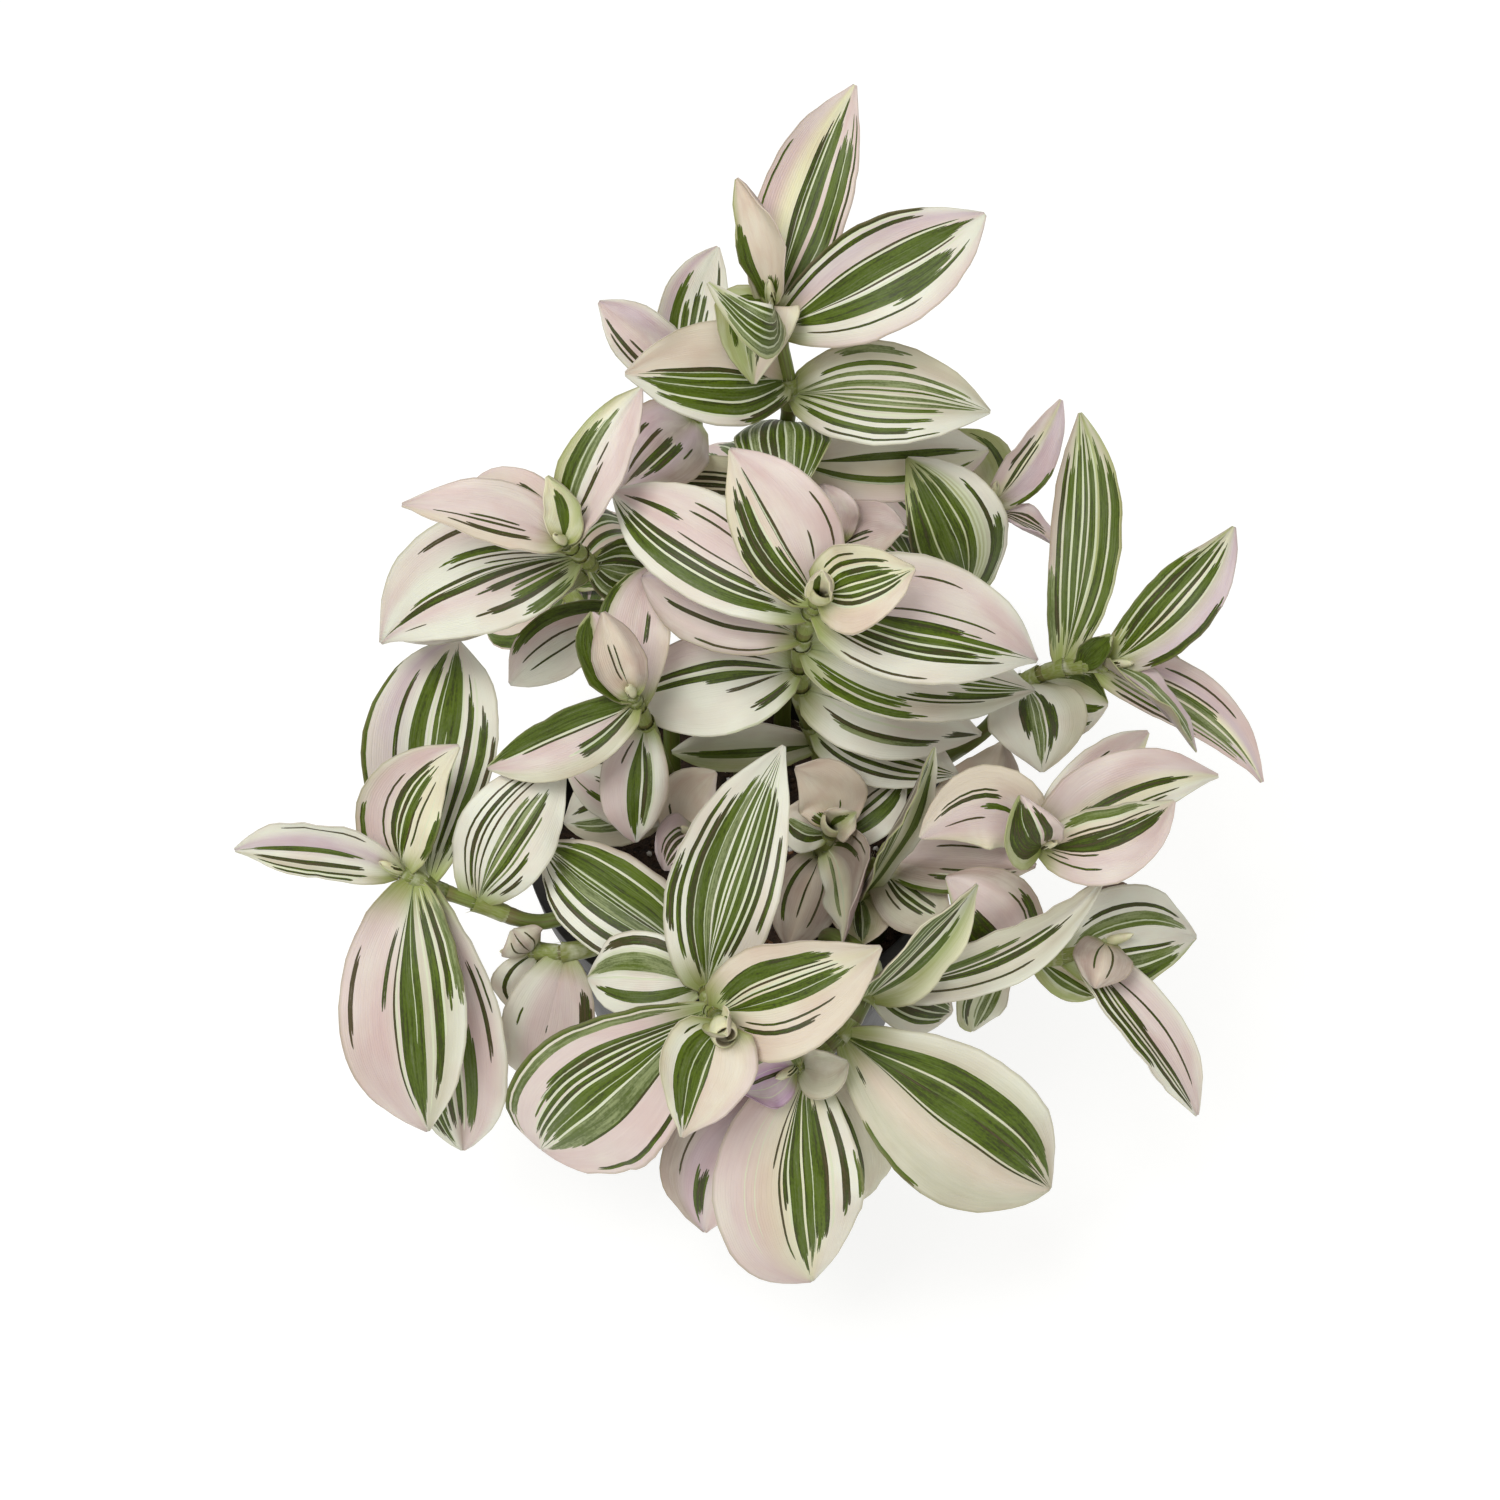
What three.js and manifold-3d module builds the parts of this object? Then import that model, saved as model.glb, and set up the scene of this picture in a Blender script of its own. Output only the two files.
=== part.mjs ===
// A potted unicorn tradescantia: leafy stems with broad striped blades, in potting soil in a plain nursery pot.
// Millimetres, +Z up. The origin is the middle of the pot's flat underside.
import * as THREE from "three";
import { mergeVertices } from "three/addons/utils/BufferGeometryUtils.js";
import Module from "manifold-3d";

const wasm = await Module();
wasm.setup();

// The pot: a round 100 mm (4 inch) nursery pot.
const POT_HEIGHT = 85;
const RIM_RADIUS = 50;
const BASE_RADIUS = 36;
const WALL = 1.6;
const FLOOR = 2;
const LIP_HEIGHT = 9;
const LIP_OUT = 2.2;
const POT_SIDES = 32;
const DRAIN_HOLES = 6;
const DRAIN_RADIUS = 4;
const DRAIN_CIRCLE = 24;
const DRAIN_SIDES = 12;

// The soil that fills it, and the holes that the stems stand in.
const SOIL_TOP = 73;
const SOIL_CROWN = 2.5;
const SOIL_GAP = 0.3;
const HOLE_DEPTH = 18;
const HOLE_GAP = 0.35;
const HOLE_SIDES = 8;

// Stems: a stem rises straight out of its hole to just above the rim before it leans away.
const STEM_RADIUS = 2.3;
const STEM_TIP_RADIUS = 1.5;
const STEM_SIDES = 5;
const ABOVE_SOIL = 4;
const ABOVE_RIM = 4;
const POINTS_BELOW_JOINTS = 3;

// Blades. An egg-shaped outline, widest at a share of the length and pinched in at the tip, starts from a narrow
// neck in the stem, where the edges cup further. The keel and the wave of the edges are shares of half the width.
// The cup and the twist towards the tip are in degrees.
const BLADE = 0.8;
const NECK = 3;
const NECK_FADE = 12;
const POINT = 0.5;
const OUTLINE = 1.55;
const WIDEST_AT = 0.48;
const TIP_PINCH = 0.45;
const TIP_PINCH_FADE = 12;
const CLASP = 38;
const CLASP_FADE = 10;
const KEEL = 0.1;
const WAVE = 0.11;
const TWIST = 12;
const WAVES = 1.7;
const NEXT_LEAF_PHASE = 1.7;
const RIGHT_EDGE_PHASE = 2;
const SMALL_LEAF = 17;

// How far blades keep from other blades, from blades of their own stem past its clasp, from the middle lines of
// other stems and from the pot, measured towards the eye.
const BLADE_CLEAR = 3;
const OWN_BLADE_CLEAR = 2;
const OWN_CLEAR_FROM = 0.1;
const STEM_CLEAR = 4.4;
const POT_CLEAR = 2;

// The viewpoint that the plant is described from: straight ahead along +Y and looking down on it. A place is given
// as the point x, y where it appears in a square picture 1500 px wide, and how much nearer to the eye it is, in
// millimetres, than the middle of the pot's rim.
const PICTURE = 1500;
const MM_PER_PX = 0.24;
const EYE_DISTANCE = 620;
const EYE_ELEVATION = THREE.MathUtils.degToRad(52);
const RIM_IN_PICTURE = [742, 828];

const RIGHT = new THREE.Vector3(1, 0, 0);
const UPWARD = new THREE.Vector3(0, Math.sin(EYE_ELEVATION), Math.cos(EYE_ELEVATION));
const TO_EYE = new THREE.Vector3(0, -Math.cos(EYE_ELEVATION), Math.sin(EYE_ELEVATION));
const CENTRED_ON = new THREE.Vector3(0, 0, POT_HEIGHT)
  .addScaledVector(RIGHT, (PICTURE / 2 - RIM_IN_PICTURE[0]) * MM_PER_PX)
  .addScaledVector(UPWARD, (RIM_IN_PICTURE[1] - PICTURE / 2) * MM_PER_PX);
const EYE = CENTRED_ON.clone().addScaledVector(TO_EYE, EYE_DISTANCE);

// The point that appears at x, y in the picture.
function seen(x, y, near) {
  const scale = MM_PER_PX * (1 - near / EYE_DISTANCE);
  return CENTRED_ON.clone()
    .addScaledVector(RIGHT, (x - PICTURE / 2) * scale)
    .addScaledVector(UPWARD, (PICTURE / 2 - y) * scale)
    .addScaledVector(TO_EYE, near);
}

// Where a point appears in the picture, and how near it is.
function sight(point) {
  const from = point.clone().sub(CENTRED_ON);
  const near = from.dot(TO_EYE);
  const scale = MM_PER_PX * (1 - near / EYE_DISTANCE);
  return { x: PICTURE / 2 + from.dot(RIGHT) / scale, y: PICTURE / 2 - from.dot(UPWARD) / scale, near };
}

// The point moved straight towards the eye, so that it appears in the same place.
function nearer(point, distance) {
  const left = point.clone().sub(EYE);
  const depth = -left.dot(TO_EYE);
  return EYE.clone().addScaledVector(left, (depth - distance) / depth);
}

// Each leafy stem: where it stands in the soil (mm), its joints as seen (x, y, near), and its leaves.
// A leaf: the joint that it grows from, its tip as seen, how much nearer its tip is than the joint, its width, how
// far it bows to its right and arches towards the eye as shares of its length, how its face is rolled to the left
// about the midrib and how far its edges cup, in degrees, and, if need be, where along it is widest, as a share.
const LEAFY_STEMS = {
  back_tall: {
    root: [10, 34],
    joints: [[797, 500, 12], [787, 432, 24], [790, 392, 31], [779, 335, 38], [772, 304, 41]],
    leaves: [
      [3.6, 855, 85, 6, 20, -0.03, 0.12, 0, 20, 0.42],
      [3.2, 985, 214, 12, 24, 0.04, 0.1, 0, 10, 0.5],
      [4, 737, 178, 12, 13, 0.09, 0.05, 30, 65],
      [3.8, 754, 384, 16, 18, 0.12, 0.3, 0, 20],
      [4, 708, 283, 20, 11, -0.35, 0.3, 0, 0],
      [2.2, 625, 374, 20, 23, 0, 0.12, 5, 15],
      [1.95, 990, 412, 4, 23, -0.02, 0.12, 0, 12, 0.44],
      [1.1, 790, 505, 18, 22, 0.05, 0.35, 0, -30],
      [0.5, 988, 450, -8, 20, 0.03, 0.1, 0, 10],
      [0, 622, 488, 10, 18, -0.02, 0.1, 0, 10],
    ],
  },
  back_left: {
    root: [-6, 36],
    joints: [[708, 560, -12], [697, 450, 4], [690, 392, 14]],
    leaves: [
      [2, 599, 302, 5, 14, 0.03, 0.1, 10, 15],
      [1.85, 718, 247, 0, 16, -0.08, 0.1, 0, 15],
      [1.5, 620, 489, 18, 21, 0, 0.15, 0, -10],
    ],
  },
  centre: {
    root: [18, 8],
    joints: [[822, 760, 4], [803, 705, 22], [800, 672, 36], [802, 640, 52], [812, 610, 64], [819, 594, 70]],
    leaves: [
      [4.4, 730, 449, 6, 22, 0.05, 0.12, 0, 15, 0.44],
      [4.9, 915, 568, 10, 19, 0.02, 0.1, 0, 30, 0.4],
      [5, 822, 570, 14, 7, 0, 0, 0, 80],
      [4, 1037, 661, -12, 27, -0.05, 0.14, 0, 10, 0.38],
      [3.8, 613, 492, -14, 22, 0, 0.12, 0, 8],
      [3.1, 642, 577, -12, 20, 0, 0.12, 0, 10],
      [2.1, 624, 701, -8, 23, 0, 0.12, 0, 8, 0.44],
      [2.8, 1034, 690, -22, 22, 0.02, 0.12, 0, 5, 0.36],
      [1.5, 981, 734, -12, 21, 0.02, 0.12, 0, 8, 0.36],
      [0.6, 958, 775, -4, 19, -0.02, 0.1, 0, 0, 0.4],
      [0.3, 672, 752, 0, 12, 0, 0.1, 30, 0],
    ],
  },
  left_middle: {
    root: [-15, 0],
    joints: [[676, 800, 8], [655, 745, 28], [640, 712, 42], [632, 694, 50]],
    leaves: [
      [2.5, 488, 768, -2, 14, -0.06, 0.12, 10, 10, 0.44],
      [3, 603, 612, 12, 11, 0, 0.1, 0, 30],
      [2.8, 592, 612, 2, 12, -0.1, 0.1, -10, 40],
      [1.6, 636, 842, -6, 15, 0.05, 0.12, 0, -15],
      [2.2, 652, 566, -6, 16, -0.08, 0.12, 0, -10],
      [0, 566, 766, 12, 14, -0.1, 0.15, -20, -10],
      [0.1, 564, 822, -12, 18, 0.02, 0.12, 0, 5, 0.42],
    ],
  },
  left_upper: {
    root: [-17, 17],
    joints: [[668, 705, 2], [632, 630, 18], [600, 578, 36], [582, 556, 46], [563, 541, 56]],
    leaves: [
      [4, 402, 505, 6, 14, 0.06, 0.12, -10, 30, 0.38],
      [3.5, 474, 482, -10, 14, 0.06, 0.1, 0, 10],
      [3.8, 641, 388, 8, 14, -0.03, 0.1, 15, 25],
      [3, 381, 643, -14, 27, 0.1, 0.14, 0, 10, 0.38],
      [2.4, 404, 640, -22, 16, 0.04, 0.1, 0, 10],
      [2.6, 655, 575, -8, 15, 0.05, 0.1, 0, 0],
      [1.3, 510, 684, -12, 15, 0.05, 0.1, 0, 0],
      [4, 547, 476, 8, 9, 0.1, 0, 0, 60, 0.4],
    ],
  },
  left: {
    root: [-31, -20],
    joints: [[598, 900, 26], [540, 922, 30], [478, 903, 33], [435, 888, 36], [402, 872, 38]],
    leaves: [
      [4, 235, 850, 0, 15, 0.09, 0.08, 35, 15, 0.45],
      [3.9, 459, 746, 8, 19, -0.18, 0.12, 0, 20, 0.42],
      [3.2, 458, 640, -24, 30, -0.04, 0.1, 0, 12, 0.52],
      [3.6, 428, 1131, -8, 28, 0.05, 0.14, 0, 12],
      [3.2, 463, 1150, -22, 24, -0.03, 0.12, 0, 8, 0.56],
      [2, 566, 763, 8, 22, -0.06, 0.12, 0, -15, 0.46],
    ],
  },
  low_left: {
    root: [-25, -30],
    joints: [[620, 938, 28], [566, 952, 30], [530, 950, 28]],
    leaves: [
      [2, 512, 930, 6, 11, 0, 0.2, 0, -40],
      [1.7, 530, 1018, -4, 19, 0, 0.12, 0, 0],
      [1, 536, 1084, -16, 21, 0, 0.12, 0, 0],
    ],
  },
  front: {
    root: [-6, -38],
    joints: [[712, 960, 42], [706, 985, 50], [712, 1008, 56], [721, 1024, 61]],
    leaves: [
      [3, 682, 1137, 4, 21, 0, 0.1, 0, 30, 0.34],
      [2.2, 881, 947, 10, 25, 0.05, 0.14, 0, 20, 0.4],
      [2, 541, 1149, -30, 35, 0.02, 0.14, 0, 8, 0.56],
      [1, 588, 978, -10, 19, 0.06, 0.14, 0, 5],
      [0.2, 541, 844, -12, 22, -0.02, 0.12, 0, 8],
      [1.2, 784, 746, 4, 24, -0.06, 0.12, 0, 15, 0.42],
      [3, 727, 1036, 10, 9, 0, 0, 0, 80],
    ],
  },
  front_right: {
    root: [20, -34],
    joints: [[872, 970, 44], [862, 1005, 46], [842, 1035, 47], [815, 1058, 48], [795, 1068, 50]],
    leaves: [
      [4, 736, 1090, 6, 16, 0.1, 0.1, 20, 60],
      [3.7, 848, 1062, 6, 12, 0.1, 0.1, 0, 40],
      [3.3, 812, 1281, -14, 33, 0.1, 0.14, 0, 10, 0.5],
      [3.7, 705, 1232, -24, 22, 0.14, 0.12, 0, 5],
      [2, 1050, 1189, -8, 33, 0, 0.14, 0, 8, 0.54],
      [3, 860, 1200, -26, 18, -0.05, 0.1, 0, 0],
      [0.8, 977, 884, 10, 18, 0.02, 0.1, -45, 30, 0.4],
      [0.4, 1104, 879, 0, 14, 0.1, 0.08, -30, 20, 0.42],
      [0.5, 952, 1012, -12, 14, 0, 0.1, 0, 0],
    ],
  },
  right_low: {
    root: [37, -10],
    joints: [[925, 872, 14], [985, 862, 30], [1022, 852, 38], [1042, 845, 44]],
    leaves: [
      [3, 1218, 776, -4, 17, -0.12, 0.12, 10, 12, 0.38],
      [2.8, 1174, 801, 4, 17, 0.12, 0.12, -10, 15, 0.44],
      [2.9, 920, 838, 8, 18, 0.28, 0.15, 0, -10],
      [3, 1020, 795, 12, 15, -0.1, 0.15, 0, 50],
      [2.4, 1148, 732, -10, 12, -0.04, 0.1, 0, 0],
      [0, 1002, 742, -20, 20, 0.05, 0.12, 0, 5, 0.4],
    ],
  },
  right_front: {
    root: [32, -23],
    joints: [[965, 940, 32], [1020, 958, 32], [1065, 955, 30], [1105, 942, 28]],
    leaves: [
      [2.3, 1197, 1115, -8, 14, -0.06, 0.12, 20, 15, 0.44],
      [1.8, 1196, 937, -14, 23, -0.08, 0.12, 0, 5, 0.4],
      [3, 1095, 988, 8, 13, 0, 0.12, 0, 0],
      [1.3, 1096, 996, -4, 10, -0.04, 0.1, 0, 0],
      [2.9, 1125, 883, -2, 14, 0, 0.1, 0, 0],
      [0.8, 972, 1031, -10, 11, 0.1, 0.1, 10, 40],
      [1, 946, 877, 10, 19, 0.1, 0.12, 0, -10],
    ],
  },
  right_far: {
    root: [38, 8],
    joints: [[985, 730, 8], [1022, 684, 16], [1062, 668, 22], [1110, 664, 26]],
    leaves: [
      [2, 1080, 413, -6, 16, 0.05, 0.08, 20, 12],
      [3, 1234, 527, 4, 16, 0.06, 0.1, 10, 12, 0.44],
      [2.7, 1262, 782, -8, 14, -0.11, 0.1, -10, -15, 0.36],
      [2.9, 1196, 752, 6, 16, -0.05, 0.1, 65, 30, 0.42],
      [3, 1186, 671, -6, 9, 0, 0.1, 0, 0],
      [2.4, 1111, 635, 6, 6, 0, 0.1, 0, 40],
      [1, 1042, 772, 12, 23, -0.05, 0.2, 0, -25],
      [1.4, 1108, 704, -4, 17, 0.1, 0.1, 0, 0],
    ],
  },
  right_back: {
    root: [32, 23],
    joints: [[925, 690, -6], [962, 602, 4], [982, 545, 8], [991, 505, 10]],
    leaves: [
      [1.1, 907, 458, 18, 23, 0.1, 0.14, 0, -10],
      [3, 1061, 400, 2, 11, 0.06, 0.1, -20, 20, 0.4],
      [2.8, 1058, 547, 4, 12, -0.05, 0.12, 60, 30],
      [2.4, 952, 430, -4, 16, 0.12, 0.1, 0, 0],
    ],
  },
  back_small: {
    root: [20, 20],
    joints: [[842, 680, 0], [838, 600, 16], [838, 540, 28]],
    leaves: [
      [2, 822, 484, 6, 12, 0, 0.1, 0, 20],
      [1.8, 905, 528, 6, 14, -0.15, 0.1, 0, 15],
    ],
  },
  middle: {
    root: [18, -9],
    joints: [[822, 850, 10], [832, 826, 20]],
    leaves: [
      [1, 795, 768, 8, 16, 0.2, 0.15, 0, 10],
      [1, 856, 812, 8, 8, 0, 0.1, 0, 40],
      [0.7, 783, 812, 2, 13, 0, 0.1, 0, 0],
      [0.3, 843, 943, 26, 18, -0.15, 0.12, -50, 20],
      [0.5, 905, 775, -2, 15, 0, 0.1, 0, 0],
      [0, 788, 948, 2, 16, 0, 0.12, 0, 10],
    ],
  },
  middle_left: {
    root: [-7, -11],
    joints: [[712, 852, 10], [690, 835, 18]],
    leaves: [
      [1, 716, 772, 6, 14, -0.2, 0.15, 0, 0],
      [0.8, 664, 870, 8, 14, 0.1, 0.2, 0, 30],
    ],
  },
  inner_right: {
    root: [27, -17],
    joints: [[860, 896, 22], [880, 862, 24]],
    leaves: [
      [0, 934, 747, 24, 14, 0.02, 0.06, -60, 30],
      [0.9, 952, 922, 0, 16, 0.05, 0.12, 0, -15],
      [1, 1036, 866, 12, 17, -0.06, 0.12, 0, 0],
      [0, 862, 945, 6, 13, 0, 0.1, 0, 0],
    ],
  },
  rear_left: {
    root: [-30, 22],
    joints: [[600, 640, -20], [566, 590, -30], [540, 560, -38]],
    leaves: [
      [2, 455, 560, -24, 22, 0, 0.14, 0, 8],
      [1.8, 520, 500, -34, 21, 0.05, 0.14, 0, 8],
      [1.1, 640, 545, -34, 22, -0.05, 0.12, 0, 8],
      [1, 480, 618, -20, 22, 0, 0.14, 0, 5],
      [0.4, 596, 560, -40, 20, 0, 0.12, 0, 5],
    ],
  },
  rear_middle: {
    root: [0, 22],
    joints: [[742, 640, -18], [750, 570, -34], [752, 530, -42]],
    leaves: [
      [2, 700, 450, -30, 22, 0, 0.14, 0, 8],
      [1.8, 812, 470, -34, 22, 0, 0.14, 0, 8],
      [1.1, 676, 530, -34, 21, 0, 0.12, 0, 8],
      [0.9, 840, 560, -32, 22, 0, 0.12, 0, 5],
    ],
  },
  rear_right: {
    root: [24, 31],
    joints: [[880, 610, -26], [925, 570, -38], [945, 540, -44]],
    leaves: [
      [2, 975, 480, -30, 22, 0, 0.14, 0, 8],
      [1.8, 890, 480, -36, 21, 0, 0.14, 0, 8],
      [1.1, 985, 580, -30, 22, 0, 0.12, 0, 5],
      [0.9, 860, 530, -40, 21, 0, 0.12, 0, 5],
      [0.4, 950, 640, -20, 19, 0, 0.12, 0, 0],
    ],
  },
};

// The line of a stem: straight up out of its hole to above the rim, then through its joints.
function stemLine({ root, joints }) {
  const [x, y] = root;
  const points = [
    new THREE.Vector3(x, y, SOIL_TOP - HOLE_DEPTH),
    new THREE.Vector3(x, y, SOIL_TOP + ABOVE_SOIL),
    new THREE.Vector3(x, y, POT_HEIGHT + ABOVE_RIM),
    ...joints.map((joint) => seen(...joint)),
  ];
  return new THREE.CatmullRomCurve3(points);
}

function stemPoint(line, joint) {
  return line.getPoint((joint + POINTS_BELOW_JOINTS) / (line.points.length - 1));
}

// A leaf's midrib runs from its joint to its tip. It bows along side and arches along rise.
function makeLeaf(line, row, stem, order) {
  const [joint, x, y, reach, width, bow, arch, roll, cup, widest = WIDEST_AT] = row;
  const base = stemPoint(line, joint);
  const tip = seen(x, y, sight(base).near + reach);
  const along = tip.clone().sub(base);
  const side = along.clone().cross(TO_EYE).normalize();
  const rise = side.clone().cross(along).normalize();
  const length = along.length();
  const bend = side.clone().multiplyScalar(bow * length).addScaledVector(rise, arch * length);
  return {
    base, along, rise, bend, width, cup, widest, stem,
    roll: THREE.MathUtils.degToRad(roll),
    twist: THREE.MathUtils.degToRad(TWIST) * Math.sin(stem + 2 * order * NEXT_LEAF_PHASE),
    phase: order * NEXT_LEAF_PHASE,
    lift: 0,
    bulge: 0,
  };
}

// How wide an egg that is widest at a share of its length is at v, from 0 at its base to 1 at its tip.
const eggShape = (widest, v) => v ** (OUTLINE * widest) * (1 - v) ** (OUTLINE * (1 - widest));

function halfWidth({ width, widest }, v) {
  const share = eggShape(widest, v) / eggShape(widest, widest);
  const pinched = share * (1 - TIP_PINCH * v ** TIP_PINCH_FADE);
  return (width / 2) * pinched + (NECK / 2) * (1 - v) ** NECK_FADE + POINT;
}

// A point of the blade's middle surface: u runs across it from -1 to 1, v from base to tip. A flat blade keeps the
// least cup, so that its arc has a radius.
const LEAST_CUP = 0.5;

function restPoint(leaf, u, v) {
  const crown = 4 * v * (1 - v);
  const midrib = leaf.base.clone().addScaledVector(leaf.along, v).addScaledVector(leaf.bend, crown);
  const ahead = leaf.along.clone().addScaledVector(leaf.bend, 4 - 8 * v).normalize();
  const face = leaf.rise.clone().addScaledVector(ahead, -leaf.rise.dot(ahead)).normalize();
  const across = ahead.clone().cross(face);
  const roll = leaf.roll + leaf.twist * v * v;
  const outward = across.clone().multiplyScalar(Math.cos(roll)).addScaledVector(face, Math.sin(roll));
  const facing = face.multiplyScalar(Math.cos(roll)).addScaledVector(across, -Math.sin(roll));
  const half = halfWidth(leaf, v);
  const cup = THREE.MathUtils.degToRad(leaf.cup + CLASP * (1 - v) ** CLASP_FADE + LEAST_CUP);
  const turn = 2 * Math.PI * WAVES * v + leaf.phase + (u > 0 ? RIGHT_EDGE_PHASE : 0);
  const wave = WAVE * u * u * Math.sin(turn);
  const level = (1 - Math.cos(cup * u)) / cup + KEEL * Math.abs(u) + wave;
  return midrib.addScaledVector(outward, (half * Math.sin(cup * u)) / cup).addScaledVector(facing, half * level);
}

// How much of a leaf's lift and of its bulge a point at v takes part in.
const liftShare = (v) => v ** 1.5;
const bulgeShare = (v) => 4 * v * (1 - v);

function leafPoint(leaf, u, v) {
  return nearer(restPoint(leaf, u, v), leaf.lift * liftShare(v) + leaf.bulge * bulgeShare(v));
}

// A grid of places on a blade as they appear, and the triangles between them.
const ACROSS = 4;
const ALONG = 8;

function survey(leaf) {
  const places = [];
  for (let row = 0; row <= ALONG; row++) {
    for (let column = 0; column <= ACROSS; column++) {
      const v = row / ALONG;
      places.push({ ...sight(restPoint(leaf, (2 * column) / ACROSS - 1, v)), v });
    }
  }
  const xs = places.map((place) => place.x);
  const ys = places.map((place) => place.y);
  const triangles = [];
  for (let row = 0; row < ALONG; row++) {
    for (let column = 0; column < ACROSS; column++) {
      const a = row * (ACROSS + 1) + column;
      const b = a + ACROSS + 1;
      triangles.push([a, a + 1, b + 1], [a, b + 1, b]);
    }
  }
  return {
    places, triangles,
    box: [Math.min(...xs), Math.max(...xs), Math.min(...ys), Math.max(...ys)],
  };
}

// Where a place lies behind or in front of a surveyed blade: the blade's nearness there and its two shares. The
// slack takes in a little more than each triangle, and a triangle seen on edge is left out.
const EDGE_SLACK = 0.15;
const EDGE_PX = 6;
const EDGE_ON_PX2 = 4;

function meetings(place, { places, triangles, box }) {
  if (place.x < box[0] - EDGE_PX || place.x > box[1] + EDGE_PX) return [];
  if (place.y < box[2] - EDGE_PX || place.y > box[3] + EDGE_PX) return [];
  const found = [];
  for (const [i, j, k] of triangles) {
    const [a, b, c] = [places[i], places[j], places[k]];
    const area = (b.x - a.x) * (c.y - a.y) - (c.x - a.x) * (b.y - a.y);
    if (Math.abs(area) < EDGE_ON_PX2) continue;
    const wb = ((place.x - a.x) * (c.y - a.y) - (c.x - a.x) * (place.y - a.y)) / area;
    const wc = ((b.x - a.x) * (place.y - a.y) - (place.x - a.x) * (b.y - a.y)) / area;
    const wa = 1 - wb - wc;
    if (Math.min(wa, wb, wc) < -EDGE_SLACK) continue;
    const blend = (value) => wa * value(a) + wb * value(b) + wc * value(c);
    found.push({
      near: blend((corner) => corner.near),
      v: blend((corner) => corner.v),
      shares: [blend((corner) => liftShare(corner.v)), blend((corner) => bulgeShare(corner.v))],
    });
  }
  return found;
}

// Places along the middle of a stem and just outside its two sides.
const STEM_PLACES_APART = 4;
const STEM_SIDE = 1.3;

function stemPlaces(line) {
  const steps = Math.round(line.getLength() / STEM_PLACES_APART);
  const places = [];
  for (let step = 0; step <= steps; step++) {
    const point = line.getPoint(step / steps);
    const ahead = line.getTangent(step / steps);
    if (point.z < SOIL_TOP) continue;
    const side = ahead.cross(TO_EYE);
    for (const offset of [-STEM_SIDE, 0, STEM_SIDE]) {
      places.push(sight(point.clone().addScaledVector(side, offset * STEM_RADIUS)));
    }
  }
  return places;
}

// How far a point that is inside the pot has to come towards the eye to be clear of it.
function outOfPot(point) {
  const reach = RIM_RADIUS + LIP_OUT + POT_CLEAR;
  const top = POT_HEIGHT + POT_CLEAR;
  if (point.z > top || Math.hypot(point.x, point.y) > reach) return 0;
  const over = (top - point.z) / TO_EYE.z;
  const past = (Math.sqrt(reach * reach - point.x * point.x) + point.y) / -TO_EYE.y;
  return Math.min(over, past);
}

// The rules that keep blades apart. A rule is a gap at rest, how it changes with the lift and bulge of blades a
// and b, which of the two is in front, and how wide the gap has to be.
function clearanceRules(leaves, lines) {
  const surveys = leaves.map(survey);
  const rules = [];
  const still = [0, 0];
  const shares = ({ v }) => [liftShare(v), bulgeShare(v)];

  // What crosses keeps the order in which it mostly lies already.
  function keepApart(pairs, clear) {
    const order = Math.sign(pairs.reduce((sum, pair) => sum + pair.gap, 0)) || 1;
    pairs.forEach((pair) => rules.push({ ...pair, order, clear }));
  }

  function bladePairs(a, b, own) {
    const pairs = [];
    for (const [first, second, turn] of [[a, b, 1], [b, a, -1]]) {
      for (const place of surveys[first].places) {
        for (const met of meetings(place, surveys[second])) {
          if (own && Math.min(place.v, met.v) < OWN_CLEAR_FROM) continue;
          const [shareA, shareB] = turn > 0 ? [shares(place), met.shares] : [met.shares, shares(place)];
          pairs.push({ a, b, shareA, shareB, gap: turn * (place.near - met.near) });
        }
      }
    }
    return pairs;
  }

  for (let a = 0; a < leaves.length; a++) {
    for (let b = a + 1; b < leaves.length; b++) {
      const own = leaves[a].stem === leaves[b].stem;
      keepApart(bladePairs(a, b, own), own ? OWN_BLADE_CLEAR : BLADE_CLEAR);
    }
  }
  lines.forEach((line, stem) => {
    const places = stemPlaces(line);
    leaves.forEach((leaf, a) => {
      if (leaf.stem === stem) return;
      const pairs = places.flatMap((place) =>
        meetings(place, surveys[a]).map((met) => ({
          a, b: a, shareA: met.shares, shareB: still, gap: met.near - place.near,
        })));
      keepApart(pairs, STEM_CLEAR);
    });
  });
  leaves.forEach((leaf, a) => {
    for (const place of surveys[a].places) {
      const push = outOfPot(seen(place.x, place.y, place.near));
      if (push === 0) continue;
      rules.push({ a, b: a, shareA: shares(place), shareB: still, gap: -push, order: 1, clear: 0 });
    }
  });
  return rules;
}

// Lifts and bulges blades until the rules hold, in small steps that share each shortfall among the blades.
const SWEEPS = 240;
const STEP = 0.45;
const EASE_BACK = 0.995;
const SOFTNESS = 0.3;

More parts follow.
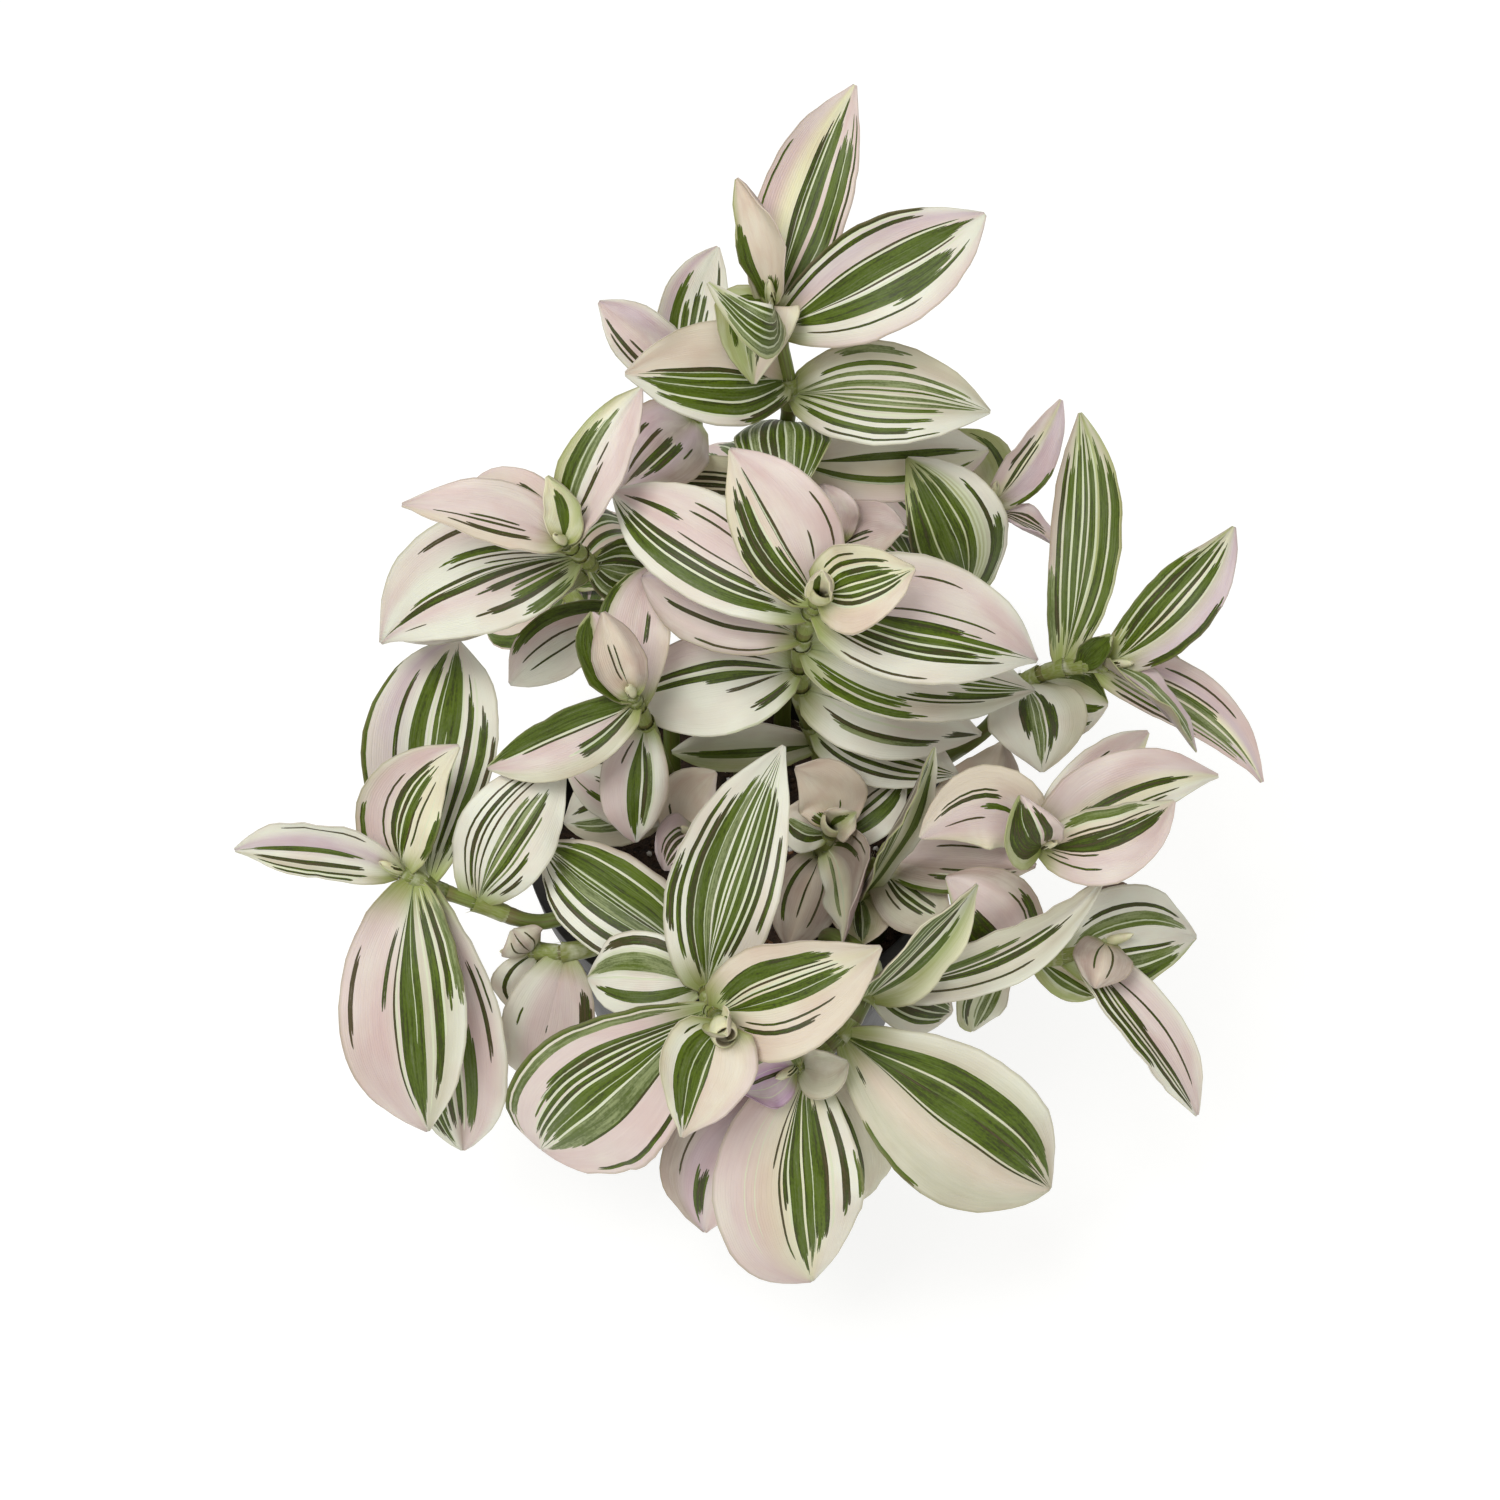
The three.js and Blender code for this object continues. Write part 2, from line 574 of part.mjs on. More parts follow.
function bendClear(leaves, lines) {
  const rules = clearanceRules(leaves, lines);
  const moves = leaves.map(() => [0, 0]);
  for (let sweep = 0; sweep < SWEEPS; sweep++) {
    const pushes = leaves.map(() => [0, 0]);
    const weights = leaves.map(() => [SOFTNESS, SOFTNESS]);
    for (const { a, b, shareA, shareB, gap, order, clear } of rules) {
      const movedA = shareA[0] * moves[a][0] + shareA[1] * moves[a][1];
      const movedB = shareB[0] * moves[b][0] + shareB[1] * moves[b][1];
      const short = clear - order * (gap + movedA - movedB);
      if (short <= 0) continue;
      const counts = short / (short + SOFTNESS);
      for (const way of [0, 1]) {
        pushes[a][way] += order * short * counts * shareA[way];
        pushes[b][way] -= order * short * counts * shareB[way];
        weights[a][way] += counts * shareA[way];
        weights[b][way] += counts * shareB[way];
      }
    }
    moves.forEach((move, a) => {
      for (const way of [0, 1]) {
        move[way] = EASE_BACK * move[way] + (STEP * pushes[a][way]) / weights[a][way];
      }
    });
  }
  leaves.forEach((leaf, a) => {
    [leaf.lift, leaf.bulge] = moves[a];
  });
}

// Solids from closed meshes.
function solid(positions, triangles) {
  return new wasm.Manifold(new wasm.Mesh({
    numProp: 3,
    vertProperties: new Float32Array(positions),
    triVerts: new Uint32Array(triangles),
  }));
}

function solidOf(geometry) {
  geometry.deleteAttribute("normal");
  geometry.deleteAttribute("uv");
  const merged = mergeVertices(geometry);
  return solid(merged.attributes.position.array, merged.index.array);
}

// The main body of a join, with what it seals inside filled and loose scraps dropped.
function mainBody(made) {
  const bodies = made.decompose();
  return bodies.reduce((best, body) => (body.volume() > best.volume() ? body : best));
}

function geometryOf(made) {
  const { vertProperties, triVerts } = made.getMesh();
  const geometry = new THREE.BufferGeometry();
  geometry.setAttribute("position", new THREE.BufferAttribute(new Float32Array(vertProperties), 3));
  geometry.setIndex(new THREE.BufferAttribute(new Uint32Array(triVerts), 1));
  return geometry;
}

// A closed skin over a grid of points, rows of equal length: the upper points and the lower ones.
function slab(upper, lower) {
  const rows = upper.length;
  const columns = upper[0].length;
  const points = [...upper.flat(), ...lower.flat()];
  const below = rows * columns;
  const triangles = [];
  const at = (row, column) => row * columns + column;
  for (let row = 0; row < rows - 1; row++) {
    for (let column = 0; column < columns - 1; column++) {
      const [a, b, c, d] = [at(row, column), at(row, column + 1), at(row + 1, column + 1), at(row + 1, column)];
      triangles.push(a, b, c, a, c, d);
      triangles.push(a + below, c + below, b + below, a + below, d + below, c + below);
    }
  }
  const border = [];
  for (let column = 0; column < columns; column++) border.push(at(0, column));
  for (let row = 1; row < rows; row++) border.push(at(row, columns - 1));
  for (let column = columns - 2; column >= 0; column--) border.push(at(rows - 1, column));
  for (let row = rows - 2; row > 0; row--) border.push(at(row, 0));
  border.forEach((a, index) => {
    const b = border[(index + 1) % border.length];
    triangles.push(a, a + below, b + below, a, b + below, b);
  });
  return solid(points.flatMap((point) => point.toArray()), triangles);
}

// Where the rows of a blade's grid lie between base and tip.
const ROWS = [0, 0.12, 0.32, 0.56, 0.8, 1];
const SMALL_ROWS = [0, 0.15, 0.42, 0.72, 1];
const COLUMNS = [-1, 0, 1];

const NORMAL_STEP = 0.01;

function leafSolid(leaf) {
  const rows = leaf.width < SMALL_LEAF ? SMALL_ROWS : ROWS;
  const faces = [1, -1].map((face) => rows.map((v) => COLUMNS.map((u) => {
    const from = Math.min(Math.max(v - NORMAL_STEP, 0), 1 - 2 * NORMAL_STEP);
    const across = leafPoint(leaf, 1, v).sub(leafPoint(leaf, -1, v));
    const ahead = leafPoint(leaf, u, from + 2 * NORMAL_STEP).sub(leafPoint(leaf, u, from));
    const normal = across.cross(ahead).normalize();
    return leafPoint(leaf, u, v).addScaledVector(normal, (face * BLADE) / 2);
  })));
  return slab(...faces);
}

// A stem: rings along its line, closed at both ends.
function stemSolid(line) {
  const steps = line.points.length + 2;
  const points = [];
  const triangles = [];
  const frames = line.computeFrenetFrames(steps);
  for (let step = 0; step <= steps; step++) {
    const centre = line.getPointAt(step / steps);
    const radius = THREE.MathUtils.lerp(STEM_RADIUS, STEM_TIP_RADIUS, step / steps);
    for (let side = 0; side < STEM_SIDES; side++) {
      const turn = (2 * Math.PI * side) / STEM_SIDES;
      points.push(centre.clone()
        .addScaledVector(frames.normals[step], radius * Math.cos(turn))
        .addScaledVector(frames.binormals[step], radius * Math.sin(turn)));
    }
  }
  for (let step = 0; step < steps; step++) {
    for (let side = 0; side < STEM_SIDES; side++) {
      const a = step * STEM_SIDES + side;
      const b = step * STEM_SIDES + ((side + 1) % STEM_SIDES);
      triangles.push(a, b, b + STEM_SIDES, a, b + STEM_SIDES, a + STEM_SIDES);
    }
  }
  const last = steps * STEM_SIDES;
  for (let side = 1; side < STEM_SIDES - 1; side++) {
    triangles.push(0, side + 1, side);
    triangles.push(last, last + side, last + side + 1);
  }
  return solid(points.flatMap((point) => point.toArray()), triangles);
}

function cylinder(radius, height, sides, x, y, bottom) {
  const geometry = new THREE.CylinderGeometry(radius, radius, height, sides);
  geometry.rotateX(Math.PI / 2);
  geometry.translate(x, y, bottom + height / 2);
  return solidOf(geometry);
}

// A round body turned from a profile of [radius, height] pairs that starts and ends on the axis.
function turned(profile, sides) {
  const points = profile.map(([radius, height]) => new THREE.Vector2(radius, height));
  const geometry = new THREE.LatheGeometry(points, sides);
  geometry.rotateX(Math.PI / 2);
  return solidOf(geometry);
}

const outerRadius = (height) => BASE_RADIUS + ((RIM_RADIUS - BASE_RADIUS) * height) / POT_HEIGHT;

function potSolid() {
  const lipBottom = POT_HEIGHT - LIP_HEIGHT;
  let pot = turned([
    [0, 0],
    [BASE_RADIUS, 0],
    [outerRadius(lipBottom), lipBottom],
    [outerRadius(lipBottom) + LIP_OUT, lipBottom],
    [RIM_RADIUS + LIP_OUT, POT_HEIGHT],
    [RIM_RADIUS - WALL, POT_HEIGHT],
    [outerRadius(FLOOR) - WALL, FLOOR],
    [0, FLOOR],
  ], POT_SIDES);
  for (let hole = 0; hole < DRAIN_HOLES; hole++) {
    const turn = (2 * Math.PI * hole) / DRAIN_HOLES;
    const [x, y] = [DRAIN_CIRCLE * Math.cos(turn), DRAIN_CIRCLE * Math.sin(turn)];
    pot = pot.subtract(cylinder(DRAIN_RADIUS, FLOOR * 3, DRAIN_SIDES, x, y, -FLOOR));
  }
  return pot;
}

function soilSolid() {
  const bottom = FLOOR + SOIL_GAP;
  const innerRadius = (height) => outerRadius(height) - WALL - SOIL_GAP;
  let soil = turned([
    [0, bottom],
    [innerRadius(bottom), bottom],
    [innerRadius(SOIL_TOP), SOIL_TOP],
    [innerRadius(SOIL_TOP) / 2, SOIL_TOP + SOIL_CROWN],
    [0, SOIL_TOP + SOIL_CROWN],
  ], POT_SIDES);
  const radius = (STEM_RADIUS + HOLE_GAP) / Math.cos(Math.PI / HOLE_SIDES);
  for (const { root } of Object.values(LEAFY_STEMS)) {
    const [x, y] = root;
    const hole = cylinder(radius, HOLE_DEPTH * 2, HOLE_SIDES, x, y, SOIL_TOP - HOLE_DEPTH - SOIL_GAP);
    soil = soil.subtract(hole);
  }
  return soil;
}

const MATERIALS = {
  pot: { color: 0x26282a, roughness: 0.5, metalness: 0 },
  soil: { color: 0x2e2118, roughness: 1, metalness: 0 },
  leafy_stem: { color: 0x8fa071, roughness: 0.45, metalness: 0 },
};

function named(name, made, material) {
  const mesh = new THREE.Mesh(geometryOf(made), new THREE.MeshStandardMaterial(MATERIALS[material]));
  mesh.name = name;
  return mesh;
}

const plant = new THREE.Group();
plant.add(named("pot", potSolid(), "pot"));
plant.add(named("soil", soilSolid(), "soil"));

const lines = Object.values(LEAFY_STEMS).map(stemLine);
const leaves = Object.values(LEAFY_STEMS).flatMap((stem, index) =>
  stem.leaves.map((row, order) => makeLeaf(lines[index], row, index, order)));
bendClear(leaves, lines);

Object.keys(LEAFY_STEMS).forEach((name, index) => {
  let leafyStem = stemSolid(lines[index]);
  for (const leaf of leaves.filter(({ stem }) => stem === index)) {
    leafyStem = leafyStem.add(leafSolid(leaf));
  }
  plant.add(named(`leafy_stem_${name}`, mainBody(leafyStem), "leafy_stem"));
});

export default plant;
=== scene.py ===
# The looks of a potted unicorn tradescantia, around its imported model.
# Shapes are worked out in millimetres, +Z up, from the middle of the pot's underside, and made in metres.
import math
import re

import bmesh
import bpy
import numpy as np
from mathutils import Matrix, Vector


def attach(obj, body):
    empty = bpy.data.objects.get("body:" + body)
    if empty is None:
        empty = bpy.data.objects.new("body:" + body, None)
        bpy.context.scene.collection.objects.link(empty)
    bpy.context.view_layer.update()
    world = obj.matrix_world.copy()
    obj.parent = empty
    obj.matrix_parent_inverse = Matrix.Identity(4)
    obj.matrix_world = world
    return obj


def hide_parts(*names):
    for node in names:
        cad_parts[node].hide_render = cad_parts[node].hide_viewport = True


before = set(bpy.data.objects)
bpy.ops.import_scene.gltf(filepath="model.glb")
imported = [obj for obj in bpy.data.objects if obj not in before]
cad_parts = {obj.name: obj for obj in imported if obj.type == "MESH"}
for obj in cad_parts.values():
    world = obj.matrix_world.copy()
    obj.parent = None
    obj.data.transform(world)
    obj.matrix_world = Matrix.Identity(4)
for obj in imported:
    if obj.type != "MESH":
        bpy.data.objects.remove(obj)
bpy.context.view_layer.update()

MM = 0.001

# The pot and the soil in it.
POT_HEIGHT = 85
RIM_RADIUS = 50
BASE_RADIUS = 36
WALL = 1.6
FLOOR = 2
LIP_HEIGHT = 9
LIP_OUT = 2.2
DRAIN_HOLES = 6
DRAIN_RADIUS = 4
DRAIN_CIRCLE = 24
SOIL_TOP = 73
SOIL_CROWN = 2.5
SOIL_GAP = 0.3
HOLE_DEPTH = 18

# The stems and blades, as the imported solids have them.
STEM_RADIUS = 2.3
STEM_TIP_RADIUS = 1.5
ABOVE_SOIL = 4
ABOVE_RIM = 4
POINTS_BELOW_JOINTS = 3
NECK = 3
NECK_FADE = 12
POINT = 0.5
OUTLINE = 1.55
WIDEST_AT = 0.48
TIP_PINCH = 0.45
TIP_PINCH_FADE = 12
CLASP = 38
CLASP_FADE = 10
LEAST_CUP = 0.5
KEEL = 0.1
WAVE = 0.11
TWIST = 12
WAVES = 1.7
NEXT_LEAF_PHASE = 1.7
RIGHT_EDGE_PHASE = 2
BLADE_CLEAR = 3
OWN_BLADE_CLEAR = 2
OWN_CLEAR_FROM = 0.1
STEM_CLEAR = 4.4
POT_CLEAR = 2

# The viewpoint that the plant is described from, which is the camera's too: a picture 1500 px wide.
PICTURE = 1500
MM_PER_PX = 0.24
EYE_DISTANCE = 620
EYE_ELEVATION = math.radians(52)
RIM_IN_PICTURE = (742, 828)

RIGHT = np.array([1.0, 0, 0])
UPWARD = np.array([0, math.sin(EYE_ELEVATION), math.cos(EYE_ELEVATION)])
TO_EYE = np.array([0, -math.cos(EYE_ELEVATION), math.sin(EYE_ELEVATION)])
CENTRED_ON = (
    np.array([0, 0, POT_HEIGHT])
    + RIGHT * (PICTURE / 2 - RIM_IN_PICTURE[0]) * MM_PER_PX
    + UPWARD * (RIM_IN_PICTURE[1] - PICTURE / 2) * MM_PER_PX
)
EYE = CENTRED_ON + EYE_DISTANCE * TO_EYE


def seen(x, y, near):
    """The point that appears at x, y in the picture, so much nearer to the eye than the rim's middle."""
    scale = MM_PER_PX * (1 - near / EYE_DISTANCE)
    return (
        CENTRED_ON
        + np.multiply.outer((x - PICTURE / 2) * scale, RIGHT)
        + np.multiply.outer((PICTURE / 2 - y) * scale, UPWARD)
        + np.multiply.outer(near, TO_EYE)
    )


def sight(points):
    """Where points appear, as arrays of x, y and near."""
    away = points - CENTRED_ON
    near = away @ TO_EYE
    scale = MM_PER_PX * (1 - near / EYE_DISTANCE)
    return PICTURE / 2 + away @ RIGHT / scale, PICTURE / 2 - away @ UPWARD / scale, near


def nearer(points, distance):
    """Points moved straight towards the eye."""
    left = points - EYE
    depth = -(left @ TO_EYE)
    return EYE + left * ((depth - distance) / depth)[..., None]


def unit(vectors):
    return vectors / np.linalg.norm(vectors, axis=-1, keepdims=True)


# Each leafy stem: where it stands in the soil (mm), its joints as seen (x, y, near), and a row for each
# leaf. A leaf: the joint that it grows from, its tip as seen, how much nearer its tip is than the joint,
# its width, how far it bows to its right and arches towards the eye as shares of its length, how its face
# is rolled to the left about the midrib and how far its edges cup, in degrees, and, if need be, where along
# it is widest, as a share.
LEAFY_STEMS = {
    "back_tall": [
        [10, 34], [[797, 500, 12], [787, 432, 24], [790, 392, 31], [779, 335, 38], [772, 304, 41]],
        [3.6, 855, 85, 6, 20, -0.03, 0.12, 0, 20, 0.42],
        [3.2, 985, 214, 12, 24, 0.04, 0.1, 0, 10, 0.5],
        [4, 737, 178, 12, 13, 0.09, 0.05, 30, 65],
        [3.8, 754, 384, 16, 18, 0.12, 0.3, 0, 20],
        [4, 708, 283, 20, 11, -0.35, 0.3, 0, 0],
        [2.2, 625, 374, 20, 23, 0, 0.12, 5, 15],
        [1.95, 990, 412, 4, 23, -0.02, 0.12, 0, 12, 0.44],
        [1.1, 790, 505, 18, 22, 0.05, 0.35, 0, -30],
        [0.5, 988, 450, -8, 20, 0.03, 0.1, 0, 10],
        [0, 622, 488, 10, 18, -0.02, 0.1, 0, 10],
    ],
    "back_left": [
        [-6, 36], [[708, 560, -12], [697, 450, 4], [690, 392, 14]],
        [2, 599, 302, 5, 14, 0.03, 0.1, 10, 15],
        [1.85, 718, 247, 0, 16, -0.08, 0.1, 0, 15],
        [1.5, 620, 489, 18, 21, 0, 0.15, 0, -10],
    ],
    "centre": [
        [18, 8],
        [[822, 760, 4], [803, 705, 22], [800, 672, 36], [802, 640, 52], [812, 610, 64], [819, 594, 70]],
        [4.4, 730, 449, 6, 22, 0.05, 0.12, 0, 15, 0.44],
        [4.9, 915, 568, 10, 19, 0.02, 0.1, 0, 30, 0.4],
        [5, 822, 570, 14, 7, 0, 0, 0, 80],
        [4, 1037, 661, -12, 27, -0.05, 0.14, 0, 10, 0.38],
        [3.8, 613, 492, -14, 22, 0, 0.12, 0, 8],
        [3.1, 642, 577, -12, 20, 0, 0.12, 0, 10],
        [2.1, 624, 701, -8, 23, 0, 0.12, 0, 8, 0.44],
        [2.8, 1034, 690, -22, 22, 0.02, 0.12, 0, 5, 0.36],
        [1.5, 981, 734, -12, 21, 0.02, 0.12, 0, 8, 0.36],
        [0.6, 958, 775, -4, 19, -0.02, 0.1, 0, 0, 0.4],
        [0.3, 672, 752, 0, 12, 0, 0.1, 30, 0],
    ],
    "left_middle": [
        [-15, 0], [[676, 800, 8], [655, 745, 28], [640, 712, 42], [632, 694, 50]],
        [2.5, 488, 768, -2, 14, -0.06, 0.12, 10, 10, 0.44],
        [3, 603, 612, 12, 11, 0, 0.1, 0, 30],
        [2.8, 592, 612, 2, 12, -0.1, 0.1, -10, 40],
        [1.6, 636, 842, -6, 15, 0.05, 0.12, 0, -15],
        [2.2, 652, 566, -6, 16, -0.08, 0.12, 0, -10],
        [0, 566, 766, 12, 14, -0.1, 0.15, -20, -10],
        [0.1, 564, 822, -12, 18, 0.02, 0.12, 0, 5, 0.42],
    ],
    "left_upper": [
        [-17, 17], [[668, 705, 2], [632, 630, 18], [600, 578, 36], [582, 556, 46], [563, 541, 56]],
        [4, 402, 505, 6, 14, 0.06, 0.12, -10, 30, 0.38],
        [3.5, 474, 482, -10, 14, 0.06, 0.1, 0, 10],
        [3.8, 641, 388, 8, 14, -0.03, 0.1, 15, 25],
        [3, 381, 643, -14, 27, 0.1, 0.14, 0, 10, 0.38],
        [2.4, 404, 640, -22, 16, 0.04, 0.1, 0, 10],
        [2.6, 655, 575, -8, 15, 0.05, 0.1, 0, 0],
        [1.3, 510, 684, -12, 15, 0.05, 0.1, 0, 0],
        [4, 547, 476, 8, 9, 0.1, 0, 0, 60, 0.4],
    ],
    "left": [
        [-31, -20], [[598, 900, 26], [540, 922, 30], [478, 903, 33], [435, 888, 36], [402, 872, 38]],
        [4, 235, 850, 0, 15, 0.09, 0.08, 35, 15, 0.45],
        [3.9, 459, 746, 8, 19, -0.18, 0.12, 0, 20, 0.42],
        [3.2, 458, 640, -24, 30, -0.04, 0.1, 0, 12, 0.52],
        [3.6, 428, 1131, -8, 28, 0.05, 0.14, 0, 12],
        [3.2, 463, 1150, -22, 24, -0.03, 0.12, 0, 8, 0.56],
        [2, 566, 763, 8, 22, -0.06, 0.12, 0, -15, 0.46],
    ],
    "low_left": [
        [-25, -30], [[620, 938, 28], [566, 952, 30], [530, 950, 28]],
        [2, 512, 930, 6, 11, 0, 0.2, 0, -40],
        [1.7, 530, 1018, -4, 19, 0, 0.12, 0, 0],
        [1, 536, 1084, -16, 21, 0, 0.12, 0, 0],
    ],
    "front": [
        [-6, -38], [[712, 960, 42], [706, 985, 50], [712, 1008, 56], [721, 1024, 61]],
        [3, 682, 1137, 4, 21, 0, 0.1, 0, 30, 0.34],
        [2.2, 881, 947, 10, 25, 0.05, 0.14, 0, 20, 0.4],
        [2, 541, 1149, -30, 35, 0.02, 0.14, 0, 8, 0.56],
        [1, 588, 978, -10, 19, 0.06, 0.14, 0, 5],
        [0.2, 541, 844, -12, 22, -0.02, 0.12, 0, 8],
        [1.2, 784, 746, 4, 24, -0.06, 0.12, 0, 15, 0.42],
        [3, 727, 1036, 10, 9, 0, 0, 0, 80],
    ],
    "front_right": [
        [20, -34], [[872, 970, 44], [862, 1005, 46], [842, 1035, 47], [815, 1058, 48], [795, 1068, 50]],
        [4, 736, 1090, 6, 16, 0.1, 0.1, 20, 60],
        [3.7, 848, 1062, 6, 12, 0.1, 0.1, 0, 40],
        [3.3, 812, 1281, -14, 33, 0.1, 0.14, 0, 10, 0.5],
        [3.7, 705, 1232, -24, 22, 0.14, 0.12, 0, 5],
        [2, 1050, 1189, -8, 33, 0, 0.14, 0, 8, 0.54],
        [3, 860, 1200, -26, 18, -0.05, 0.1, 0, 0],
        [0.8, 977, 884, 10, 18, 0.02, 0.1, -45, 30, 0.4],
        [0.4, 1104, 879, 0, 14, 0.1, 0.08, -30, 20, 0.42],
        [0.5, 952, 1012, -12, 14, 0, 0.1, 0, 0],
    ],
    "right_low": [
        [37, -10], [[925, 872, 14], [985, 862, 30], [1022, 852, 38], [1042, 845, 44]],
        [3, 1218, 776, -4, 17, -0.12, 0.12, 10, 12, 0.38],
        [2.8, 1174, 801, 4, 17, 0.12, 0.12, -10, 15, 0.44],
        [2.9, 920, 838, 8, 18, 0.28, 0.15, 0, -10],
        [3, 1020, 795, 12, 15, -0.1, 0.15, 0, 50],
        [2.4, 1148, 732, -10, 12, -0.04, 0.1, 0, 0],
        [0, 1002, 742, -20, 20, 0.05, 0.12, 0, 5, 0.4],
    ],
    "right_front": [
        [32, -23], [[965, 940, 32], [1020, 958, 32], [1065, 955, 30], [1105, 942, 28]],
        [2.3, 1197, 1115, -8, 14, -0.06, 0.12, 20, 15, 0.44],
        [1.8, 1196, 937, -14, 23, -0.08, 0.12, 0, 5, 0.4],
        [3, 1095, 988, 8, 13, 0, 0.12, 0, 0],
        [1.3, 1096, 996, -4, 10, -0.04, 0.1, 0, 0],
        [2.9, 1125, 883, -2, 14, 0, 0.1, 0, 0],
        [0.8, 972, 1031, -10, 11, 0.1, 0.1, 10, 40],
        [1, 946, 877, 10, 19, 0.1, 0.12, 0, -10],
    ],
    "right_far": [
        [38, 8], [[985, 730, 8], [1022, 684, 16], [1062, 668, 22], [1110, 664, 26]],
        [2, 1080, 413, -6, 16, 0.05, 0.08, 20, 12],
        [3, 1234, 527, 4, 16, 0.06, 0.1, 10, 12, 0.44],
        [2.7, 1262, 782, -8, 14, -0.11, 0.1, -10, -15, 0.36],
        [2.9, 1196, 752, 6, 16, -0.05, 0.1, 65, 30, 0.42],
        [3, 1186, 671, -6, 9, 0, 0.1, 0, 0],
        [2.4, 1111, 635, 6, 6, 0, 0.1, 0, 40],
        [1, 1042, 772, 12, 23, -0.05, 0.2, 0, -25],
        [1.4, 1108, 704, -4, 17, 0.1, 0.1, 0, 0],
    ],
    "right_back": [
        [32, 23], [[925, 690, -6], [962, 602, 4], [982, 545, 8], [991, 505, 10]],
        [1.1, 907, 458, 18, 23, 0.1, 0.14, 0, -10],
        [3, 1061, 400, 2, 11, 0.06, 0.1, -20, 20, 0.4],
        [2.8, 1058, 547, 4, 12, -0.05, 0.12, 60, 30],
        [2.4, 952, 430, -4, 16, 0.12, 0.1, 0, 0],
    ],
    "back_small": [
        [20, 20], [[842, 680, 0], [838, 600, 16], [838, 540, 28]],
        [2, 822, 484, 6, 12, 0, 0.1, 0, 20],
        [1.8, 905, 528, 6, 14, -0.15, 0.1, 0, 15],
    ],
    "middle": [
        [18, -9], [[822, 850, 10], [832, 826, 20]],
        [1, 795, 768, 8, 16, 0.2, 0.15, 0, 10],
        [1, 856, 812, 8, 8, 0, 0.1, 0, 40],
        [0.7, 783, 812, 2, 13, 0, 0.1, 0, 0],
        [0.3, 843, 943, 26, 18, -0.15, 0.12, -50, 20],
        [0.5, 905, 775, -2, 15, 0, 0.1, 0, 0],
        [0, 788, 948, 2, 16, 0, 0.12, 0, 10],
    ],
    "middle_left": [
        [-7, -11], [[712, 852, 10], [690, 835, 18]],
        [1, 716, 772, 6, 14, -0.2, 0.15, 0, 0],
        [0.8, 664, 870, 8, 14, 0.1, 0.2, 0, 30],
    ],
    "inner_right": [
        [27, -17], [[860, 896, 22], [880, 862, 24]],
        [0, 934, 747, 24, 14, 0.02, 0.06, -60, 30],
        [0.9, 952, 922, 0, 16, 0.05, 0.12, 0, -15],
        [1, 1036, 866, 12, 17, -0.06, 0.12, 0, 0],
        [0, 862, 945, 6, 13, 0, 0.1, 0, 0],
    ],
    "rear_left": [
        [-30, 22], [[600, 640, -20], [566, 590, -30], [540, 560, -38]],
        [2, 455, 560, -24, 22, 0, 0.14, 0, 8],
        [1.8, 520, 500, -34, 21, 0.05, 0.14, 0, 8],
        [1.1, 640, 545, -34, 22, -0.05, 0.12, 0, 8],
        [1, 480, 618, -20, 22, 0, 0.14, 0, 5],
        [0.4, 596, 560, -40, 20, 0, 0.12, 0, 5],
    ],
    "rear_middle": [
        [0, 22], [[742, 640, -18], [750, 570, -34], [752, 530, -42]],
        [2, 700, 450, -30, 22, 0, 0.14, 0, 8],
        [1.8, 812, 470, -34, 22, 0, 0.14, 0, 8],
        [1.1, 676, 530, -34, 21, 0, 0.12, 0, 8],
        [0.9, 840, 560, -32, 22, 0, 0.12, 0, 5],
    ],
    "rear_right": [
        [24, 31], [[880, 610, -26], [925, 570, -38], [945, 540, -44]],
        [2, 975, 480, -30, 22, 0, 0.14, 0, 8],
        [1.8, 890, 480, -36, 21, 0, 0.14, 0, 8],
        [1.1, 985, 580, -30, 22, 0, 0.12, 0, 5],
        [0.9, 860, 530, -40, 21, 0, 0.12, 0, 5],
        [0.4, 950, 640, -20, 19, 0, 0.12, 0, 0],
    ],
}


ALONG_STEP = 1e-4


class Line:
    """A centripetal Catmull-Rom curve through points, with a ghost point past each end."""

    def __init__(self, points):
        points = np.array(points, float)
        self.last = len(points) - 1
        self.points = np.vstack([2 * points[0] - points[1], points, 2 * points[-1] - points[-2]])

    def at(self, share):
        place = np.asarray(share, float) * self.last
        first = np.minimum(np.floor(place).astype(int), self.last - 1)
        t = (place - first)[..., None]
        x0, x1, x2, x3 = (self.points[first + step] for step in range(4))
        spans = (x0, x1), (x1, x2), (x2, x3)
        d0, d1, d2 = (((b - a) ** 2).sum(-1, keepdims=True) ** 0.25 for a, b in spans)
        start = ((x1 - x0) / d0 - (x2 - x0) / (d0 + d1) + (x2 - x1) / d1) * d1
        end = ((x2 - x1) / d1 - (x3 - x1) / (d1 + d2) + (x3 - x2) / d2) * d1
        bend = (3 * (x2 - x1) - 2 * start - end) * t**2
        return x1 + start * t + bend + (2 * (x1 - x2) + start + end) * t**3

    def ahead(self, share):
        share = np.asarray(share, float)
        return unit(self.at(np.minimum(share + ALONG_STEP, 1)) - self.at(np.maximum(share - ALONG_STEP, 0)))

    def length(self, divisions=200):
        return np.linalg.norm(np.diff(self.at(np.linspace(0, 1, divisions + 1)), axis=0), axis=1).sum()

    def share_of_joint(self, joint):
        return (joint + POINTS_BELOW_JOINTS) / self.last


def stem_line(root, joints):
    """Straight up out of its hole to above the rim, then through its joints."""
    heights = (SOIL_TOP - HOLE_DEPTH, SOIL_TOP + ABOVE_SOIL, POT_HEIGHT + ABOVE_RIM)
    return Line([(*root, height) for height in heights] + [seen(*joint) for joint in joints])


